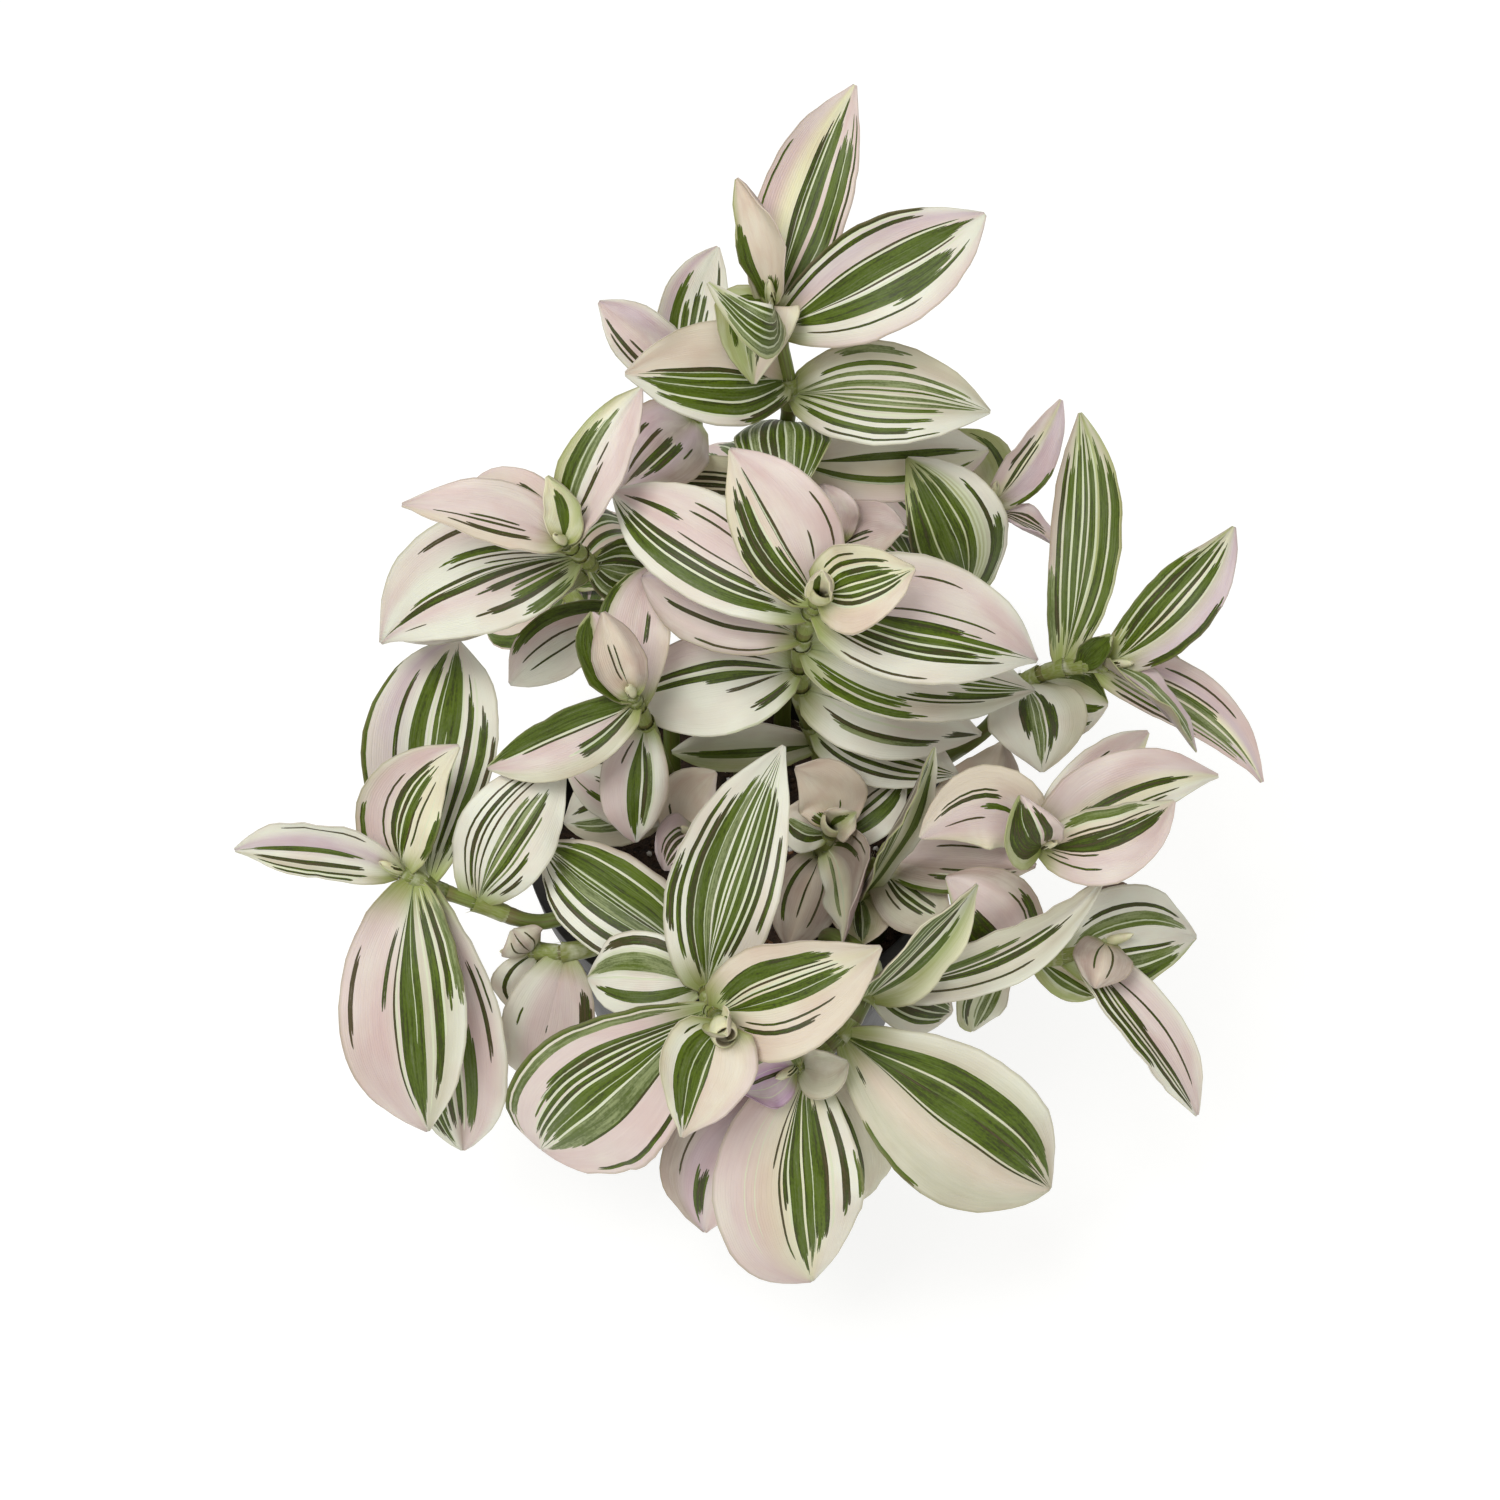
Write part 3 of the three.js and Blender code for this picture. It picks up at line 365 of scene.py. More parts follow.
class Leaf:
    """A blade. Its midrib runs from its joint to its tip, bows along side and arches along rise."""

    def __init__(self, line, row, stem, order):
        joint, x, y, reach, width, bow, arch, roll, cup, *widest = row
        self.joint, self.width, self.cup, self.stem, self.order = joint, width, cup, stem, order
        self.base = line.at(line.share_of_joint(joint))
        self.along = seen(x, y, sight(self.base)[2] + reach) - self.base
        side = unit(np.cross(self.along, TO_EYE))
        self.rise = unit(np.cross(side, self.along))
        self.length = np.linalg.norm(self.along)
        self.bend = side * bow * self.length + self.rise * arch * self.length
        self.widest = widest[0] if widest else WIDEST_AT
        self.roll = math.radians(roll)
        self.twist = math.radians(TWIST) * math.sin(stem + 2 * order * NEXT_LEAF_PHASE)
        self.phase = order * NEXT_LEAF_PHASE
        self.lift = self.bulge = 0.0

    def half_width(self, v):
        share = egg_shape(self.widest, v) / egg_shape(self.widest, self.widest)
        pinched = share * (1 - TIP_PINCH * v**TIP_PINCH_FADE)
        return self.width / 2 * pinched + NECK / 2 * (1 - v) ** NECK_FADE + POINT

    def at_rest(self, u, v):
        """Points of the middle surface: u runs across it from -1 to 1, v from base to tip."""
        u, v = (np.asarray(share, float)[..., None] for share in np.broadcast_arrays(u, v))
        midrib = self.base + self.along * v + self.bend * (4 * v * (1 - v))
        ahead = unit(self.along + self.bend * (4 - 8 * v))
        face = unit(self.rise - ahead * (ahead @ self.rise)[..., None])
        across = np.cross(ahead, face)
        roll = self.roll + self.twist * v * v
        outward = across * np.cos(roll) + face * np.sin(roll)
        facing = face * np.cos(roll) - across * np.sin(roll)
        half = self.half_width(v)
        cup = np.radians(self.cup + CLASP * (1 - v) ** CLASP_FADE + LEAST_CUP)
        turn = 2 * math.pi * WAVES * v + self.phase + np.where(u > 0, RIGHT_EDGE_PHASE, 0)
        level = (1 - np.cos(cup * u)) / cup + KEEL * np.abs(u) + WAVE * u * u * np.sin(turn)
        return midrib + outward * (half * np.sin(cup * u) / cup) + facing * (half * level)

    def at(self, u, v):
        u, v = np.broadcast_arrays(u, v)
        return nearer(self.at_rest(u, v), self.lift * lift_share(v) + self.bulge * bulge_share(v))


def egg_shape(widest, v):
    """How wide an egg that is widest at a share of its length is at v."""
    return v ** (OUTLINE * widest) * (1 - v) ** (OUTLINE * (1 - widest))


def lift_share(v):
    return v**1.5


def bulge_share(v):
    return 4 * v * (1 - v)


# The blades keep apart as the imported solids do: a grid of places on each, where it appears, and the rules
# between those that cross.
ACROSS = 4
ALONG = 8
EDGE_SLACK = 0.15
EDGE_PX = 6
EDGE_ON_PX2 = 4
STEM_PLACES_APART = 4
STEM_SIDE = 1.3
SWEEPS = 240
STEP = 0.45
EASE_BACK = 0.995
SOFTNESS = 0.3


class Survey:
    """Places on a blade at rest, where they appear, how far lift and bulge move them, and their triangles."""

    def __init__(self, leaf):
        shares = np.arange(ALONG + 1) / ALONG, np.arange(ACROSS + 1) * 2 / ACROSS - 1
        v, u = (grid.ravel() for grid in np.meshgrid(*shares, indexing="ij"))
        self.x, self.y, self.near = sight(leaf.at_rest(u, v))
        self.v = v
        self.shares = np.stack([lift_share(v), bulge_share(v)], 1)
        first = (np.arange(ALONG)[:, None] * (ACROSS + 1) + np.arange(ACROSS)).ravel()
        ahead = first + ACROSS + 1
        halves = (first, first + 1, ahead + 1), (first, ahead + 1, ahead)
        self.triangles = np.vstack([np.stack(half, 1) for half in halves])

    def meetings(self, x, y):
        """Each place behind or in front of this blade: its index, and the blade's near, v and shares."""
        inside = (x >= self.x.min() - EDGE_PX) & (x <= self.x.max() + EDGE_PX)
        inside &= (y >= self.y.min() - EDGE_PX) & (y <= self.y.max() + EDGE_PX)
        if not inside.any():
            return np.zeros(0, int), np.zeros(0), np.zeros(0), np.zeros((0, 2))
        ax, bx, cx = self.x[self.triangles].T
        ay, by, cy = self.y[self.triangles].T
        area = (bx - ax) * (cy - ay) - (cx - ax) * (by - ay)
        x, y = x[:, None], y[:, None]
        with np.errstate(divide="ignore", invalid="ignore"):
            wb = ((x - ax) * (cy - ay) - (cx - ax) * (y - ay)) / area
            wc = ((bx - ax) * (y - ay) - (x - ax) * (by - ay)) / area
        wa = 1 - wb - wc
        hit = (np.abs(area) >= EDGE_ON_PX2) & (np.minimum(np.minimum(wa, wb), wc) >= -EDGE_SLACK)
        place, triangle = np.nonzero(hit & inside[:, None])
        weights = np.stack([wa, wb, wc], -1)[place, triangle]
        corners = self.triangles[triangle]
        near, v = ((weights * values[corners]).sum(1) for values in (self.near, self.v))
        return place, near, v, (weights[..., None] * self.shares[corners]).sum(1)


def stem_places(line):
    """Where places along the middle of a stem and just outside its two sides appear."""
    steps = round(line.length() / STEM_PLACES_APART)
    share = np.arange(steps + 1) / steps
    share = share[line.at(share)[:, 2] >= SOIL_TOP]
    side = np.cross(line.ahead(share), TO_EYE)
    offsets = (-STEM_SIDE, 0, STEM_SIDE)
    return sight(np.vstack([line.at(share) + side * offset * STEM_RADIUS for offset in offsets]))


def out_of_pot(points):
    """How far points that are inside the pot have to come towards the eye to be clear of it."""
    reach = RIM_RADIUS + LIP_OUT + POT_CLEAR
    top = POT_HEIGHT + POT_CLEAR
    x, y, z = points.T
    over = (top - z) / TO_EYE[2]
    past = (np.sqrt(np.maximum(reach * reach - x * x, 0)) + y) / -TO_EYE[1]
    return np.where((z > top) | (np.hypot(x, y) > reach), 0, np.minimum(over, past))


def rule_rows(ends, share_a, share_b, gap, order, clear):
    """A rule for each gap: two blades, their shares in it, the gap at rest, its order and its least width."""
    pairs = np.tile(ends, (len(gap), 1))
    return np.column_stack([pairs, share_a, share_b, gap, np.tile([order, clear], (len(gap), 1))])


def blade_gaps(one, other, own):
    """The shares of two blades where either crosses the other, and how far one is in front there."""
    sides = []
    for first, second, turn in ((one, other, 1), (other, one, -1)):
        place, near, v, shares = second.meetings(first.x, first.y)
        if own:
            past = np.minimum(first.v[place], v) >= OWN_CLEAR_FROM
            place, near, shares = place[past], near[past], shares[past]
        pair = (first.shares[place], shares)[::turn]
        sides.append((*pair, turn * (first.near[place] - near)))
    return [np.concatenate(column) for column in zip(*sides)]


def clearance_rules(leaves, lines):
    surveys = [Survey(leaf) for leaf in leaves]
    rules = []

    def keep_apart(a, b, share_a, share_b, gap, clear):
        if len(gap):
            rules.append(rule_rows([a, b], share_a, share_b, gap, np.sign(gap.sum()) or 1, clear))

    for a, one in enumerate(surveys):
        for b in range(a + 1, len(surveys)):
            own = leaves[a].stem == leaves[b].stem
            keep_apart(a, b, *blade_gaps(one, surveys[b], own), OWN_BLADE_CLEAR if own else BLADE_CLEAR)
    for stem, line in enumerate(lines):
        x, y, stem_near = stem_places(line)
        for a, leaf in enumerate(leaves):
            if leaf.stem != stem:
                place, near, _, shares = surveys[a].meetings(x, y)
                keep_apart(a, a, shares, np.zeros_like(shares), near - stem_near[place], STEM_CLEAR)
    for a, survey in enumerate(surveys):
        push = out_of_pot(seen(survey.x, survey.y, survey.near))
        shares = survey.shares[push > 0]
        rules.append(rule_rows([a, a], shares, np.zeros_like(shares), -push[push > 0], 1, 0))
    return np.vstack(rules)


def bend_clear(leaves, lines):
    """Lifts and bulges blades until the rules hold, in small steps that the blades share."""
    rules = clearance_rules(leaves, lines)
    a, b = rules[:, 0].astype(int), rules[:, 1].astype(int)
    share_a, share_b = rules[:, 2:4], rules[:, 4:6]
    gap, order, clear = rules[:, 6:].T
    moves = np.zeros((len(leaves), 2))
    for _ in range(SWEEPS):
        moved = (share_a * moves[a]).sum(1) - (share_b * moves[b]).sum(1)
        short = np.maximum(clear - order * (gap + moved), 0)
        counts = short / (short + SOFTNESS)
        push = order * short * counts
        for way in (0, 1):
            pushes = np.bincount(a, push * share_a[:, way], len(leaves))
            pushes -= np.bincount(b, push * share_b[:, way], len(leaves))
            weights = SOFTNESS + np.bincount(a, counts * share_a[:, way], len(leaves))
            weights += np.bincount(b, counts * share_b[:, way], len(leaves))
            moves[:, way] = EASE_BACK * moves[:, way] + STEP * pushes / weights
    for leaf, (lift, bulge) in zip(leaves, moves):
        leaf.lift, leaf.bulge = lift, bulge


lines = []
leaves = []
for stem, (root, joints, *rows) in enumerate(LEAFY_STEMS.values()):
    lines.append(stem_line(root, joints))
    leaves += [Leaf(lines[stem], row, stem, order) for order, row in enumerate(rows)]
bend_clear(leaves, lines)

# The pale ground of a blade, as sRGB colours by a letter. k is painted shade: a brownish grey for blades that
# lie in shade deep in the plant.
TINTS = {
    "p": (214, 197, 190),
    "l": (202, 185, 188),
    "b": (216, 203, 182),
    "c": (221, 218, 186),
    "w": (223, 223, 206),
    # e: a dull cream, made darker in part as painted shade.
    "e": (196, 193, 168),
    "y": (230, 228, 188),
    "g": (162, 172, 108),
    # k: painted shade, for blades deep in the plant's shadow.
    "k": (170, 154, 140),
    "v": (182, 146, 180),
}
YOUNG_GREEN = (142, 158, 68)
SHEATH_GREEN = (124, 136, 58)

# How each blade is marked: its order on its stem, the tints of its ground from its left edge to its right,
# then its marks. A mark is its kind, from and to across the blade (-100 left edge, 100 right edge), and
# from and to along it (0 base, 100 tip). One that follows a single vein has one place across.
# Kinds: g is a green band, d a dark one, m a milky one, l a band of all three with pale lines, o thin olive
# streaks between the veins, w a pale line and s a broad pale stripe.
LOOKS = {
    "back_tall": """
    0 ppycppp: d -88 -84 40 66, d -17 -8 10 86, w -6 12 90, g -4 1 10 90, s 4 8 94, g 8 28 4 96,
        g 42 62 4 82, w 64 8 84, g 67 80 8 86, d 86 90 30 88
    1 wlpwwwp: d -97 -91 10 82, s -88 10 78, d -84 -77 6 78, o -45 12 90, s -40 10 90, g -36 0 4 95,
        s 4 12 92, o 8 14 86, s 13 14 90, g 18 48 6 84, g 50 58 50 88, o 68 72 12 60
    2 gbbbbbb: g -100 -62 0 70, d -20 -12 20 96, g -60 60 0 22
    3 cbbgggg: d -30 -10 20 92, m 0 20 10 95, w 24 10 95, g 40 66 0 80
    4 gwgw: l -80 80 0 95
    5 wwwbbbb: d -98 -84 5 40, s -80 8 80, g -76 -58 4 88, s -54 5 90, g -50 -12 2 95, w -28 10 90,
        s -9 10 94, g -6 2 12 93, w 4 15 92, d 7 13 18 90
    6 eeweeww: m -92 -80 22 58, g -62 -56 14 64, m -46 -42 5 92, m -30 -18 3 97, g -14 -8 5 90, w -4 5 95,
        m 0 8 2 96, w 10 5 92, m 13 21 4 94, g 26 34 5 78, s 40 8 80, g 48 56 6 74, g 66 78 5 68,
        d 86 92 20 75
    7 gwgwgwg: l -92 92 0 97
    8 wwcp: g -20 0 0 95, l 40 60 0 90
    9 ccc: o -60 60 5 90""",
    "back_left": """
    0 wpppllw: o -80 -76 40 78, d -64 -50 40 90, o -36 -33 40 64, o 10 14 30 46
    1 wlwwwww: g -62 -40 20 78, g -27 -16 20 65, g -8 10 22 76, w 14 20 70, g 20 27 20 68, d 36 42 20 60,
        d 56 66 70 90
    2 kklkllk: o -58 -52 34 52, d -36 -20 40 84, w -15 45 84, d -12 2 40 97, o 24 32 44 88, o 54 62 46 72""",
    "centre": """
    0 cbbpppp: d -95 5 50, d -90 -80 4 62, s -77 5 70, d -74 -60 3 84, w -58 5 86, d -56 -42 3 86,
        s -38 5 70, d -34 -30 5 40, o -22 6 88, w -19 6 90, o -14 5 88, o 36 40 24 44, o 78 26 58
    1 cccycbb: o -74 18 58, d -60 -52 10 80, s -46 10 84, d -40 -30 8 82, w -27 8 90, g -24 -12 5 92,
        w -9 5 94, g -6 10 3 97, s 14 5 97, d 19 26 5 96, w 29 5 92, d 33 39 8 86, s 45 10 96
    2 yyyy: g -50 0 0 90
    3 wpppwww: o -70 36 56, o -18 -14 20 75, d 3 10 15 70, g 12 22 2 98, w 24 5 92, g 26 36 3 94,
        s 38 5 86, d 41 49 8 80, s 52 10 80, d 56 62 12 83, o 68 72 2 30, o 90 94 10 52
    4 wwwpppw: g -74 -56 6 98, s -52 8 97, d -48 -38 10 97, w -35 12 96, d -32 -18 16 94, o -6 -2 22 65,
        d 20 32 64 96, o 48 52 40 64, o 66 45 62
    5 kppplpp: o -90 -86 10 50, d -44 -35 4 78, g 4 20 4 66, w 22 5 80, g 24 40 8 84, s 42 10 88,
        d 46 58 15 90, w 61 25 92, g 64 80 30 95, s 84 40 96, d 88 96 45 95
    6 wwwwwpp: s -96 10 45, d -76 -60 5 28, o -26 -18 10 42, d 2 6 10 50, g 8 22 3 97, s 26 4 94,
        d 30 44 3 95, w 47 5 90, o 56 12 34
    7 wwwwwew: g -28 -22 74 94, g -10 -2 64 96, w 2 62 96, g 6 14 58 97, w 17 60 95, g 20 27 64 94,
        s 30 62 90, g 32 38 58 90, d 42 49 40 88, d 56 63 34 72, g 60 76 4 44, w 68 6 42, g 82 92 5 50
    8 wwwwwww: m -10 30 5 52, s 24 8 60, d 33 44 10 50, d 48 56 15 76, m 60 66 20 70, d 10 40 78 98
    9 wwwww: d 0 8 0 97, d 22 30 0 97, d 44 52 5 95, d 66 74 5 95
    10 gw: g -40 0 0 95""",
    "left_middle": """
    0 eepppgg: l -60 -22 3 46, o 22 24 14 75, s 31 10 90, g 38 96 0 100
    1 kbbbbkk: o -26 -22 22 72, o -6 -3 18 68, w -14 20 60
    2 ggpp: g -100 -20 0 98
    3 kwwwppp: s -56 10 90, m -50 -40 20 85, d -36 -28 15 82, w -26 20 88, g -22 16 2 99, o 48 52 14 36
    4 gpppb: g -100 -75 10 90, o -30 15 40, o 30 45 40 65
    5 wppww: g -50 -30 0 90, o 10 40 5 80, g 70 90 0 80
    6 eewwwww: l -60 -20 5 90, d 10 30 5 90, w 40 10 80, d 60 75 10 70""",
    "left_upper": """
    0 bbppppp: o -66 -60 20 74, o -52 18 60, o -34 -28 24 84, o -20 30 60
    1 pbp: o 40 60 0 60
    2 gcwppp: g -78 -50 4 76, w -48 5 80, m -46 -24 4 86, o -2 6 50 68, o 8 24 10 52, o 30 40 5 26
    3 wwpwwpw: g -94 -82 4 26, d -72 -64 4 48, g -60 -46 3 30, d -38 -32 4 44, o -56 -52 70 86,
        d -22 -10 2 97, w -8 5 60, d -2 4 4 78, w 8 4 50, o 14 4 40, o 22 26 4 54, d 32 40 6 58,
        g 48 58 4 26, o 70 78 8 60
    4 wppw: g -20 0 0 90, o -60 60 5 80
    5 ggg: l -100 100 0 97
    6 wwwpp: o -20 30 80, o 20 24 20 80, g 60 96 0 80
    7 yyg: g -30 30 0 80""",
    "left": """
    0 wewllww: d -92 -88 22 80, s -84 20 85, d -78 -72 18 88, d -62 -48 20 88, g -21 2 20 96,
        o 72 76 26 68
    1 eppcccc: g -90 -78 10 45, o -44 -36 14 70, d -20 -8 8 94, w -5 10 88, d 2 10 8 82, s 13 8 84,
        g 16 28 8 86, o 36 14 60, o 50 54 20 76, w 70 20 70, g 84 98 8 60
    2 wlwwwww: g -98 -93 10 80, o -56 -51 30 82, g -32 -12 4 97, s -6 20 97, g 0 38 3 98, w 8 5 95,
        w 22 5 60, s 43 10 92, d 50 60 5 82, s 66 8 80, g 70 82 5 70, w 86 10 60, d 90 96 8 55
    3 weewppp: m -98 -88 4 46, w -84 5 50, d -80 -72 4 50, s -67 4 60, d -63 -50 4 88, s -44 4 92,
        g -32 6 2 98, w -20 4 60, s 11 3 97, o 16 10 90, o 30 34 16 50, o 80 88 26 60
    4 wppkwww: o -84 25 45, o -74 -66 24 60, g -42 -16 46 90, s -12 60 88, d -8 4 60 88, w 9 60 90,
        d 14 24 62 92, l 30 90 0 96
    5 wwwwwww: o -72 -66 8 90, o -58 -52 8 92, d -46 -40 6 94, o -34 -28 6 94, m -12 -4 6 74, d 0 4 8 78,
        m 8 14 6 80, m 20 26 6 82, d 30 34 8 80, m 40 46 10 70, d 54 62 8 46, o 72 80 10 32""",
    "low_left": """
    0 kekek: o -46 10 80, o -4 5 90, o 40 44 10 80
    1 yggwwww: g -96 -50 5 60, s -42 5 70, g -20 -6 5 80, w -2 5 80, g 4 18 5 80, s 26 5 80, d 62 70 5 90
    2 kppppww: d -92 -70 20 97, o 0 6 46 56, o 60 64 38 50""",
    "front": """
    0 pbbbwwc: g -6 0 3 95, s 3 4 3 95, g 8 30 0 94, w 32 0 94, g 34 66 0 93, o 78 8 20
    1 bbccbbb: g -72 -44 6 79, w -40 5 78, o -36 8 78, s -31 6 80, o -26 8 77, g -20 -6 4 84, w -4 4 84,
        g -1 15 4 85, o 38 44 15 72, d 52 58 15 58
    2 pppwwppp: d -88 -83 30 80, d -39 -36 20 78, m -36 -10 0 97, s -8 8 96, g -5 2 0 97, w 4 5 96,
        g 6 18 0 97, s 21 5 94, d 24 30 0 92, w 32 10 92, g 34 40 0 88, s 43 10 85, d 46 52 0 80,
        w 53 10 80, g 55 60 0 66, m 82 90 6 94, w 91 8 92, g 93 99 6 92
    3 wwwwgww: g -60 -36 4 90, s -10 5 95, m 14 50 4 98, w 60 10 80, d 70 90 10 80
    4 wwwwgwk: d -96 -86 30 88, d -68 -54 12 92, w -50 10 90, d -38 -26 8 96, w -24 8 96, m -22 -6 5 100,
        w -4 5 96, d -2 6 5 100, w 9 5 96, g 11 16 6 100, s 18 10 96, g 20 60 6 100, w 62 10 90,
        g 64 84 10 96
    5 wwwwwww: d -94 -86 20 52, d -76 -70 12 76, d -62 -48 6 78, w -46 5 80, g -44 -28 4 88, w -26 5 92,
        m -24 -12 2 97, w -10 2 97, g -8 4 2 97, s 6 3 97, g 8 12 2 97, w 14 3 97, g 16 27 2 98,
        s 29 4 98, g 32 40 3 96, s 43 10 95, d 46 53 12 84, s 57 15 92, d 60 66 16 80, d 79 86 25 68
    6 yyg: g -60 -20 0 80""",
    "front_right": """
    0 vlvlp: w -66 0 90, w -40 0 90, o -20 -8 0 80, w 10 0 90, m 60 96 0 90
    1 eeeee: w -60 20 70
    2 wwccbpp: g -100 -95 30 52, d -81 -73 10 68, s -60 20 75, d -56 -50 14 77, g -48 -38 8 88,
        w -36 10 90, g -34 -24 6 93, w -22 8 94, g -20 -5 4 99, s -2 10 70, d 0 5 12 60, o 12 10 85,
        o 22 8 40, w 45 15 70, w 60 20 75
    3 pppllkk: d -8 12 62 90, g 14 22 60 95, o 56 60 45 70
    4 weeebee: g -64 -42 0 97, w -38 0 98, g -34 -20 0 99, o -18 0 99, g -16 4 0 99, w 7 2 98, o 12 3 98,
        o 62 70 8 17, g 96 100 25 50
    5 eeeeeee: d -16 -4 10 92, d 20 38 8 98, d 68 92 8 97
    6 cgwgc: l -90 -20 5 90, d -10 10 0 95, g 25 45 0 80
    7 eewew: g -50 -20 0 60, d -15 0 5 75, w 5 5 80, d 10 25 10 85, o 60 10 60
    8 ww: l -60 60 0 95""",
    "right_low": """
    0 pppccww: d 4 20 16 87, g -8 0 12 30, o 50 54 20 80, o 62 20 70, o 74 78 14 62, g 86 96 4 60
    1 ecbbppp: m -92 -74 20 84, w -68 20 88, o -50 -46 18 90, o -38 20 70, d -32 18 4 94, w -20 40 90,
        o 24 28 8 40, o 44 8 22, o 58 62 8 42
    2 cppbb: g -5 10 20 60, o -25 55 85, o 20 45 40 90
    3 gggkppp: d -74 28 0 97, w -8 45 92, s 33 25 90, d 42 64 15 86
    4 wppppcc: o -46 -40 24 74, g 24 44 14 76, w 52 14 60, d 60 72 14 50
    5 bbbbkkk: d -50 -42 30 66, o -20 40 66, o 0 4 36 62, d 30 38 30 60""",
    "right_front": """
    0 wppppww: o -34 -28 18 86, d 14 20 14 48, d 22 34 18 93, w 38 14 92, d 42 52 12 94, w 56 14 94,
        d 60 70 14 94, w 76 14 80, d 82 90 10 60
    1 wwwwwwg: d -62 -56 20 82, m -46 -18 10 90, w -30 20 88, d 28 33 10 78, m 42 58 10 86, s 62 20 80,
        g 66 90 10 84
    2 kkbkk: o -40 -36 10 80, o 24 30 5 70
    3 bbgg: l 0 60 0 95
    4 kkbkk: o -60 -50 10 80, o 10 20 60
    5 wg: l -70 0 0 95, l 30 70 0 90
    6 gppppkk: d -96 -26 20 72, o 52 58 20 56, d 64 82 18 52""",
    "right_far": """
    0 kegegeg: m -96 -82 5 40, d -80 -68 8 82, w -64 10 82, g -60 -44 8 90, s -40 12 88, g -36 -20 5 98,
        s -16 12 95, g -12 -2 4 92, w 2 8 88, g 6 26 5 92, s 31 10 90, g 36 62 6 90, w 68 12 84,
        g 72 92 10 82
    1 kgecell: g -98 -84 10 82, w -80 10 85, d -76 -60 10 88, w -56 12 90, g -52 -24 6 92, w -22 15 90,
        d -18 -8 12 92, s 2 5 90, g 10 30 4 90, w 32 5 88, d 84 96 15 68
    2 pplylpp: o -60 -56 30 70, o -30 -26 24 60, g -10 -2 12 62, m 4 14 8 92, w 18 8 80, m 24 32 8 74,
        m 38 48 6 88, w 52 8 80, m 56 64 6 82, g 70 80 6 84, o 88 92 8 60
    3 lplg: l -70 -20 0 95, o 20 60 5 80
    4 gwgg: g -90 -60 0 90, g 0 40 0 90
    5 gg: g -99 99 0 99
    6 eewwwww: d -36 -32 40 76, d -30 -18 20 92, m -14 16 15 97, w -8 15 92, w 8 20 90, d 20 32 25 72
    7 ggwww: g -95 -50 0 99, o -5 20 55, g 10 35 20 95, l 60 80 0 80""",
    "right_back": """
    0 gggggww: d -99 -88 20 86, w -84 20 88, g -80 -52 14 90, w -49 14 92, g -46 -16 6 97, w -13 5 95,
        g -10 8 4 97, w 11 4 94, g 14 28 2 96, s 34 4 90, s 42 4 92, s 50 4 92, d 62 68 5 74,
        g 72 88 3 50, w 91 5 50
    1 ppylll: o -70 -50 30 65, o -40 -10 10 70, g 88 99 10 50
    2 lpbl: o -50 50 5 80
    3 ccgg: o -45 70 95, g 50 70 0 90""",
    "back_small": """
    0 ppp: o -80 -60 10 60
    1 ppb: g -60 -40 0 40, o 0 30 10 60""",
    "middle": """
    0 bbbb: l -90 -50 0 30, o 20 10 40
    1 bgb: g -40 0 0 80
    2 wb: l -60 0 0 90
    3 kkkkccw: d -52 -40 10 50, o -80 30 54, m 58 66 10 80, s 40 0 95
    4 pwww: o -30 -20 5 90, g -5 8 0 95, g 18 58 20 95
    5 kkbkk: o -40 -36 10 80, o 10 14 8 70, d 50 60 10 80""",
    "middle_left": """
    0 bbbp: o -50 5 40, g 60 80 0 60
    1 lpl: o -60 60 5 90""",
    "inner_right": """
    0 gwgw: l -90 0 0 95, g 40 60 0 95
    1 beeeeek: d -24 -12 10 78, s -6 10 78, d 0 10 12 80, w 14 12 80, d 18 30 14 70, o 46 20 50
    2 kpppkke: o -60 -50 50 76, o -30 -28 40 70, o 38 44 40 90, w 50 40 94, d 54 62 36 92, g 90 98 10 60
    3 bgb: l -30 30 0 95""",
}

BANDS = "gdml"
STRIPES = "ws"

# What a blade that isn't in the table may have: its ground, its marks' kinds, widths and gaps, between
# which places across they lie, and where along the blade they start and end.
GROUNDS = ("pwcp", "ppcw", "wlpp", "pbpl", "wpwc")
KINDS = "lglo"
WIDTHS = (0.12, 0.5)
GAPS = (0.1, 0.4)
PLACES = (-0.95, 0.9)
STARTS = (0, 0.05)
ENDS = (0.78, 1.0)


def written_mark(kind, *places):
    """A mark with its places as shares."""
    places = [int(place) / 100 for place in places]
    return (kind, places[0], *places) if len(places) == 3 else (kind, *places)


def written_looks(text):
    """The ground and the marks of each blade, by its order."""
    _, *parts = re.split(r"(\d+) ([a-z]+):", text)
    return {
        int(order): (ground, [written_mark(*mark.split()) for mark in marks.split(",")])
        for order, ground, marks in zip(parts[::3], parts[1::3], parts[2::3])
    }


def chosen_look(chance):
    """A look for a blade that isn't in the table."""
    ground = GROUNDS[chance.integers(len(GROUNDS))]
    marks = []
    at, last = PLACES
    while at < last:
        width = chance.uniform(*WIDTHS)
        kind = KINDS[chance.integers(len(KINDS))]
        marks.append((kind, at, at + width, chance.uniform(*STARTS), chance.uniform(*ENDS)))
        at += width + chance.uniform(*GAPS)
    return ground, marks


# A cell is the strip between two veins. Each holds at most one streak and one pale line, whose width is a
# share of the cell: past 1 it joins its neighbours.
CELL_WIDTH = 0.5
FEWEST_CELLS = 26
MOST_CELLS = 60
FULL = 1.4
PALE_WIDTHS = (0.35, 0.6)
NARROW = 0.5

# How milky a streak of each kind is, from brown, 0, to pale green, 1, and how far single streaks stray from
# that.
TONES = {"o": 0.06, "d": 0.24, "g": 0.46, "m": 0.86}
MIXED_TONES = "dggm"
BAND_STRAY = 0.1
OLIVE_STRAY = 0.16

# A mixed band changes its tone every few cells, with a pale line between, and olive streaks leave every
# third free.
GROUP = 4
OLIVE_EVERY = 3

